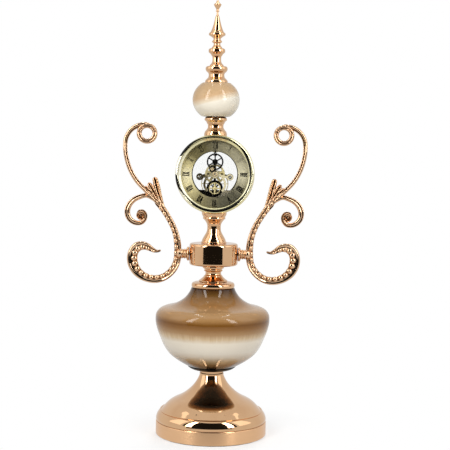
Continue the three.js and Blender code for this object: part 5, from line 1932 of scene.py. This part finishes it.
def limb(name, route, halves, front, back):
    """A flat strip along a smooth route, as wide as twice its halves, with round ends."""
    points, way, share, length = along(route, 40)
    half = by_route_point(route, halves, share)
    side = np.stack([-way[:, 1], way[:, 0]], axis=1) * half[:, None]
    strip = slab(name, [[*map(tuple, points + side), *map(tuple, (points - side)[::-1])]], front, back)
    return [strip, *[post_mesh(half[end], front, back, tuple(points[end]), 32) for end in (0, -1)]]


def both_sides(points):
    return [[(side * x, up) for x, up in points] for side in (1, -1)]


front, back = bridge_box.front, bridge_box.back
bridge_parts = [post_mesh(BRIDGE_MIDDLE, front, back, facets=96)]
for route in both_sides([(3, -0.4), (9, -2.6), (14, -3.4), (EYE_X - 2, EYE_Z)]):
    bridge_parts += limb("limb", route, [2.2, 1.7, 1.5, 1.9], front, back)
for route in both_sides([(9, -2.6), (12.4, -8.6), (13.2, -15), (10.4, -20.6)]):
    bridge_parts += limb("prong", route, [1.7, 1.45, 1.4, 1.7], front, back)
bridge_parts += [post_mesh(BRIDGE_EYE, front, back, place, 72) for place in EYE_PLACES]
bridge_mesh = carved(fused(*bridge_parts), arbor(HOLE_IN_PIPE, front - 1, back + 1))
print("bridge joined from", len(bridge_parts), "flat parts")
hand_over("bridge_brass", eased(bridge_mesh, 0.14), bridge_metal, "brass", "stand", "bridge")

# %% Screws of the bridge
SCREW_RADIUS, SCREW_HEIGHT, SCREW_GAP = 2.3, 0.8, 0.02
SCREW_SLOT, SCREW_SLOT_DEEP = 0.5, 0.4


def screw_meshes(places, level):
    """Cheese-head screws with a slot, standing out in front of a level."""
    heads = []
    head_top = level - SCREW_HEIGHT
    for turn, (x, up) in enumerate(places):
        runs = chain(
            (0, level), (SCREW_RADIUS, level), (SCREW_RADIUS, head_top + 0.2), (SCREW_RADIUS - 0.3, head_top),
            (0, head_top),
        )
        head = ring_mesh("screw", runs, 48, 0.05, 0.3, (x, up), closed=False)
        way = Vector((math.cos(0.6 + 1.1 * turn), math.sin(0.6 + 1.1 * turn)))
        across = Vector((-way.y, way.x)) * SCREW_SLOT / 2
        middle = Vector((x, up))
        corners = [middle + way * s + across * t for s, t in ((-3, -1), (3, -1), (3, 1), (-3, 1))]
        cut = slab("slot", [[tuple(c) for c in corners]], head_top - 1, head_top + SCREW_SLOT_DEEP)
        heads.append(carved(head, cut))
    return heads


hand_over("bridge_screws", fused(*screw_meshes(EYE_PLACES, front - SCREW_GAP)), steel, "steel", "stand")

# %% Train bar and lower plate
bar_box = Box("train_bar")
front, back = bar_box.front, bar_box.back
BAR_HALF, BAR_MIDDLE, BAR_EYE = 1.6, 2.4, 4.5
POST_GAP = 0.2
bar_parts = limb("upright", [(0, UPPER_Z), (0, SECONDS_Z)], [BAR_HALF, BAR_HALF], front, back)
across = [EYE_PLACES[1], (0, 0), EYE_PLACES[0]]
bar_parts += limb("across", across, [BAR_HALF, BAR_MIDDLE, BAR_HALF], front, back)
bar_parts += [post_mesh(BAR_EYE, front, back, place, 72) for place in EYE_PLACES]
post_hole = post_box.rim - EYE_X + POST_GAP
bar_holes = [post_mesh(post_hole, front - 1, back + 1, place) for place in EYE_PLACES]
bar_mesh = carved(fused(*bar_parts), *bar_holes)
hand_over("train_bar_black", eased(bar_mesh, 0.12), black_metal, "black_metal", "stand", "train_bar")

segment_box = Box("segment_plate")
SEGMENT_RADIUS = 41.0
chord = segment_box.high[2] - DIAL_Z
pillar_box = Box("plate_pillar_lower_right")
PILLAR_AT = pillar_box.x
turn = math.acos(-chord / SEGMENT_RADIUS)
arc = [(SEGMENT_RADIUS * math.sin(t), -SEGMENT_RADIUS * math.cos(t)) for t in np.linspace(-turn, turn, 96)]
front, back = segment_box.front, segment_box.back
pillar_hole = pillar_box.radius + POST_GAP
segment_holes = [
    post_mesh(pillar_hole, front - 1, back + 1, (side * PILLAR_AT, -PILLAR_AT)) for side in (1, -1)
]
segment_mesh = eased(carved(slab("segment", [arc], front, back), *segment_holes), 0.15)
hand_over("segment_plate_polished", segment_mesh, segment_metal, "black_metal", "stand", "segment_plate")


# %% Posts between the plates
def turned_post(name, node):
    """A rod between the plates, a little slimmer between its ends."""
    box = Box(node)
    front, back, radius = box.front, box.back, box.radius
    end, slim = 1.6, radius - 0.35
    runs = chain(
        (0, front), (radius, front), (radius, front + end), (slim, front + end + 0.4),
        (slim, back - end - 0.4), (radius, back - end), (radius, back), (0, back),
    )
    mesh = ring_mesh(name, runs, 72, 0.12, 0.4, (box.x, box.up), closed=False)
    hand_over(name, mesh, brass, "brass", "stand", node)


for corner in ("upper_right", "upper_left", "lower_right", "lower_left"):
    turned_post(f"pillar_{corner}_turned", f"plate_pillar_{corner}")
for side in ("right", "left"):
    turned_post(f"post_{side}_turned", f"bridge_post_{side}")

# %% [markdown]
# ## Hands
#
# Both hands are blackened steel with a pierced spade near the tip. An outline with a hole in it is
# all they need, raised by four tenths of a millimetre. The hour hand has a pipe that runs on
# the minute arbor, and a small bright nut holds both.

# %% Hands and nut
def mirrored(right):
    """A closed loop from its right half, listed from the tip down."""
    return [*right, *[(-x, up) for x, up in right[::-1]]]


def spade_hand(length, half, spade, spade_up):
    """The outline of a hand and the hole in its spade."""
    right = smooth_run([
        (0.3, length), (0.5, spade_up + 2.3 * spade), (half * 0.55, spade_up + 1.5 * spade),
        (spade * 0.75, spade_up + 0.75 * spade), (spade, spade_up), (spade * 0.72, spade_up - 0.7 * spade),
        (half * 0.6, spade_up - 0.95 * spade), (half * 0.75, spade_up * 0.5), (half, 0),
    ], 0.25)
    hole = smooth_run([
        (0.01, spade_up + 0.95 * spade), (spade * 0.35, spade_up + 0.5 * spade),
        (spade * 0.55, spade_up - 0.05 * spade), (spade * 0.3, spade_up - 0.45 * spade),
        (0.01, spade_up - 0.5 * spade),
    ], 0.25)
    return [mirrored([tuple(p) for p in right]), mirrored([tuple(p) for p in hole])]


HAND_HOLE = CANNON + 0.2
HAND_SHEET = 0.4
HOUR_PIPE = 1.75
for name, node, body, length, half, spade, spade_up, eye in (
    ("hand_of_minutes", "minute_hand", "minute_work", 33.0, 1.5, 2.3, 25.0, 2.6),
    ("hand_of_hours", "hour_hand", "hour_work", 22.5, 1.5, 3.1, 15.0, 3.0),
):
    box = Box(node)
    front, back = box.front, box.front + HAND_SHEET
    outline_and_hole = spade_hand(length, half, spade, spade_up)
    parts = [slab(name, outline_and_hole, front, back), post_mesh(eye, front, back, facets=72)]
    if box.back > back + 1:
        parts.append(arbor(HOUR_PIPE, front, box.back))
    mesh = carved(fused(*parts), arbor(HAND_HOLE, front - 1, box.back + 1))
    hand_over(name, eased(mesh, 0.07), black_metal, "black_metal", body, node)

nut_box = Box("hands_nut")
front, back = nut_box.front, nut_box.back
nut_runs = chain(
    (HAND_HOLE, back), (3.3, back), (3.3, front + 0.25), (2.9, front), (1.6, front),
    (HAND_HOLE, front + 0.25), (HAND_HOLE, back),
)
nut_mesh = ring_mesh("nut", nut_runs, 96, 0.04, 0.3)
hand_over("nut_of_hands", nut_mesh, nut_gold, "rose_gold", "minute_work", "hands_nut")

# %% [markdown]
# ## Finishes for the nodes that stay
#
# A few nodes of the frame already have their true shape: flat lenses and plates, the rods and
# fittings inside the stand, and the pad under the foot. They keep their meshes and get their finish
# here, through the material slots that they have.

# %% Dress what is left of the frame
kept_finishes = {
    "front_lens": lens_glass, "back_lens": lens_glass, "front_plate": clear_plate, "back_plate": clear_plate,
    "base_pad": foam, "ballast_disc": cement, "battery_cell": steel, "base_washer": steel, "base_nut": steel,
    "lower_rod": steel, "upper_rod": steel, "arm_stud_right": steel, "arm_stud_left": steel,
}
for name, finish in kept_finishes.items():
    for slot in bpy.data.objects[name].material_slots:
        slot.material = finish
print(len(kept_finishes), "nodes of the frame stay in view")
# %% [markdown]
# ## Light, floor and background
#
# The clock stands on white and is lit like a product picture. Polished metal shows its surroundings,
# so the surroundings are built: the world is white for the camera and a little greyer in reflections,
# a large dark wall stands in front as the unlit room does behind a camera, a tall narrow softbox
# stands at each of its ends, a soft glow comes from either side, and two strips run overhead. Cards
# and strips are seen only in reflections. The glazes and the dial get their light from a dimmer world
# and three wide lamps that never show in a reflection, and the floor gives back little of it, so that
# the underside of the vase stays dark.

# %% World
def rays(graph, *names):
    """Outputs of a Light Path node, each 1 for the rays that it is named after and 0 for the rest."""
    paths = graph.tree.nodes.new("ShaderNodeLightPath")
    return [Value(graph, graph.pick(paths.outputs, name)) for name in names]


world = bpy.data.worlds.new("world")
bpy.context.scene.world = world
world.use_nodes = True
sky = Graph(world.node_tree)
seen, mirrored_ray, passed_on = rays(sky, "Is Camera Ray", "Is Glossy Ray", "Is Transmission Ray")
DIM_WORLD = 0.55
MIRRORED_WORLD = 0.8
seen_white = (seen + passed_on).clamped() * (1 - DIM_WORLD)
background = world.node_tree.nodes["Background"]
background.inputs["Color"].default_value = (1.0, 1.0, 1.0, 1.0)
strength = seen_white + mirrored_ray * (MIRRORED_WORLD - DIM_WORLD) + DIM_WORLD
world.node_tree.links.new(strength.socket, background.inputs["Strength"])
print("world: 1 where it is seen,", MIRRORED_WORLD, "in mirrors,", DIM_WORLD, "where it lights")


# %% Floor
def floor_material():
    finish = Finish("floor", Roughness=0.9, Specular_IOR_Level=0.0)
    spread, camera_ray, glossy_ray = rays(finish, "Is Diffuse Ray", "Is Camera Ray", "Is Glossy Ray")
    finish.feed(Base_Color=finish.mixed(spread, (0.92, 0.92, 0.92), (0.62, 0.6, 0.58)))
    x, y = finish.parts(finish.place())[:2]
    away = (x * x + y * y).math("SQRT").rise(75.0, 190.0)
    shine = finish.mixed(glossy_ray, (1.0, 1.0, 1.0), (MIRRORED_WORLD,) * 3)
    white = finish.node("ShaderNodeEmission", None, {"Color": shine, "Strength": 1.0})
    share = (camera_ray * (0.55 + away * 0.45) + glossy_ray).clamped()
    matt = Value(finish, finish.shader.outputs[0])
    both = finish.node("ShaderNodeMixShader", None, {0: share, 1: matt, 2: white})
    finish.tree.links.new(both.socket, finish.tree.nodes["Material Output"].inputs["Surface"])
    return finish.material


FLOOR_HALF = 6000.0
corners = [(x * FLOOR_HALF, y * FLOOR_HALF, 0) for x, y in ((-1, -1), (1, -1), (1, 1), (-1, 1))]
as_object("floor", new_mesh("floor", corners, [(0, 1, 2, 3)], material=floor_material()))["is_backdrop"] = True


# %% Cards that only reflections see
def card_material(name, strength):
    material = bpy.data.materials.new(name)
    material.use_nodes = True
    tree = Graph(material.node_tree)
    material.node_tree.nodes.remove(material.node_tree.nodes["Principled BSDF"])
    glow = tree.node("ShaderNodeEmission", None, {"Color": (1.0, 1.0, 1.0, 1.0), "Strength": strength})
    material.node_tree.links.new(glow.socket, material.node_tree.nodes["Material Output"].inputs["Surface"])
    return material


def reflected_card(name, material, lower, upper):
    """A card between two rows of points that only glossy rays see."""
    count = len(lower)
    faces = [(i, i + 1, i + count + 1, i + count) for i in range(count - 1)]
    card = as_object(name, new_mesh(name, [*lower, *upper], faces, material=material))
    card.visible_camera = card.visible_diffuse = card.visible_shadow = False
    card.visible_transmission = card.visible_volume_scatter = False
    card.visible_glossy = True
    card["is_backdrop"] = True


CLOCK_LEVEL = 260.0
WALL_COLUMNS = 24


def wall_card(name, material, distance, turn_from, turn_to, rise_from, rise_to):
    """Part of a round wall, from turn to turn and rise to rise, in degrees as the clock sees them."""
    turns = np.radians(np.linspace(turn_from, turn_to, WALL_COLUMNS + 1))
    rows = []
    for rise in (rise_from, rise_to):
        z = CLOCK_LEVEL + distance * math.tan(math.radians(rise))
        rows.append([(distance * math.sin(t), -distance * math.cos(t), z) for t in turns])
    reflected_card(name, material, *rows)


def ceiling_card(name, material, height, x_low, x_high, y_low, y_high):
    rows = [[(x, y, height) for x in (x_low, x_high)] for y in (y_low, y_high)]
    reflected_card(name, material, *rows)


dark = card_material("dark_room", 0.012)
bright = card_material("softbox", 9.0)
glow = card_material("side_glow", 1.5)
WALL_DISTANCE, ROOM_DISTANCE = 1100.0, 1160.0
for name, material, turn_from, turn_to, rise_from, rise_to in (
    ("softbox_left", bright, -53, -40, 4, 58), ("softbox_right", bright, 36, 49, 4, 58),
    ("glow_left", glow, -98, -66, 6, 50), ("glow_right", glow, 62, 94, 6, 50),
):
    wall_card(name, material, WALL_DISTANCE, turn_from, turn_to, rise_from, rise_to)
for name, turn_from, turn_to, rise_from in (
    ("room_front", -50, 43, -13), ("room_left", -60, -50, 4), ("room_right", 43, 56, 4),
):
    wall_card(name, dark, ROOM_DISTANCE, turn_from, turn_to, rise_from, 60)
STRIP_HEIGHT, STRIP_OUT, STRIP_HALF, STRIP_LONG = 2200.0, 374.0, 45.0, 1500.0
for side in (-1, 1):
    x = side * STRIP_OUT
    ceiling_card(f"strip_{side + 1}", bright, STRIP_HEIGHT, x - STRIP_HALF, x + STRIP_HALF, 0, STRIP_LONG)


# %% Lamps
def lamp(name, place, power, size):
    data = bpy.data.lights.new(name, "AREA")
    data.energy, data.size, data.shape = power, size * MM, "DISK"
    made = as_object(name, data)
    where = Vector(place) * MM
    target = Vector((0, 0, CLOCK_LEVEL)) * MM
    aim = (target - where).to_track_quat("-Z", "Y")
    made.matrix_world = Matrix.Translation(where) @ aim.to_matrix().to_4x4()
    made.visible_glossy = False


LAMP_WIDE = 900.0
lamp("key", (-900, -1500, 1300), 21.0, LAMP_WIDE)
lamp("fill", (1100, -1400, 800), 11.0, LAMP_WIDE)
lamp("back", (300, 1500, 1400), 14.0, LAMP_WIDE)
bpy.context.scene.view_settings.view_transform = "Standard"
bpy.context.scene.cycles.transparent_max_bounces = 24
bpy.context.scene.cycles.max_bounces = 12
bpy.context.scene.cycles.glossy_bounces = 8
print("three lamps, nine cards, one floor")

# %% [markdown]
# ## Sizes at the end
#
# The dressed clock must not outgrow the engineering model, so both boxes are printed side by
# side.

# %% Sizes
final_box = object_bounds()
as_lists = [[list(map(float, corner)) for corner in box] for box in (cad_box, final_box)]
for label, (low, high) in zip(("frame", "dressed"), as_lists):
    print(label, [round((h - l) / MM, 1) for l, h in zip(low, high)], "mm")
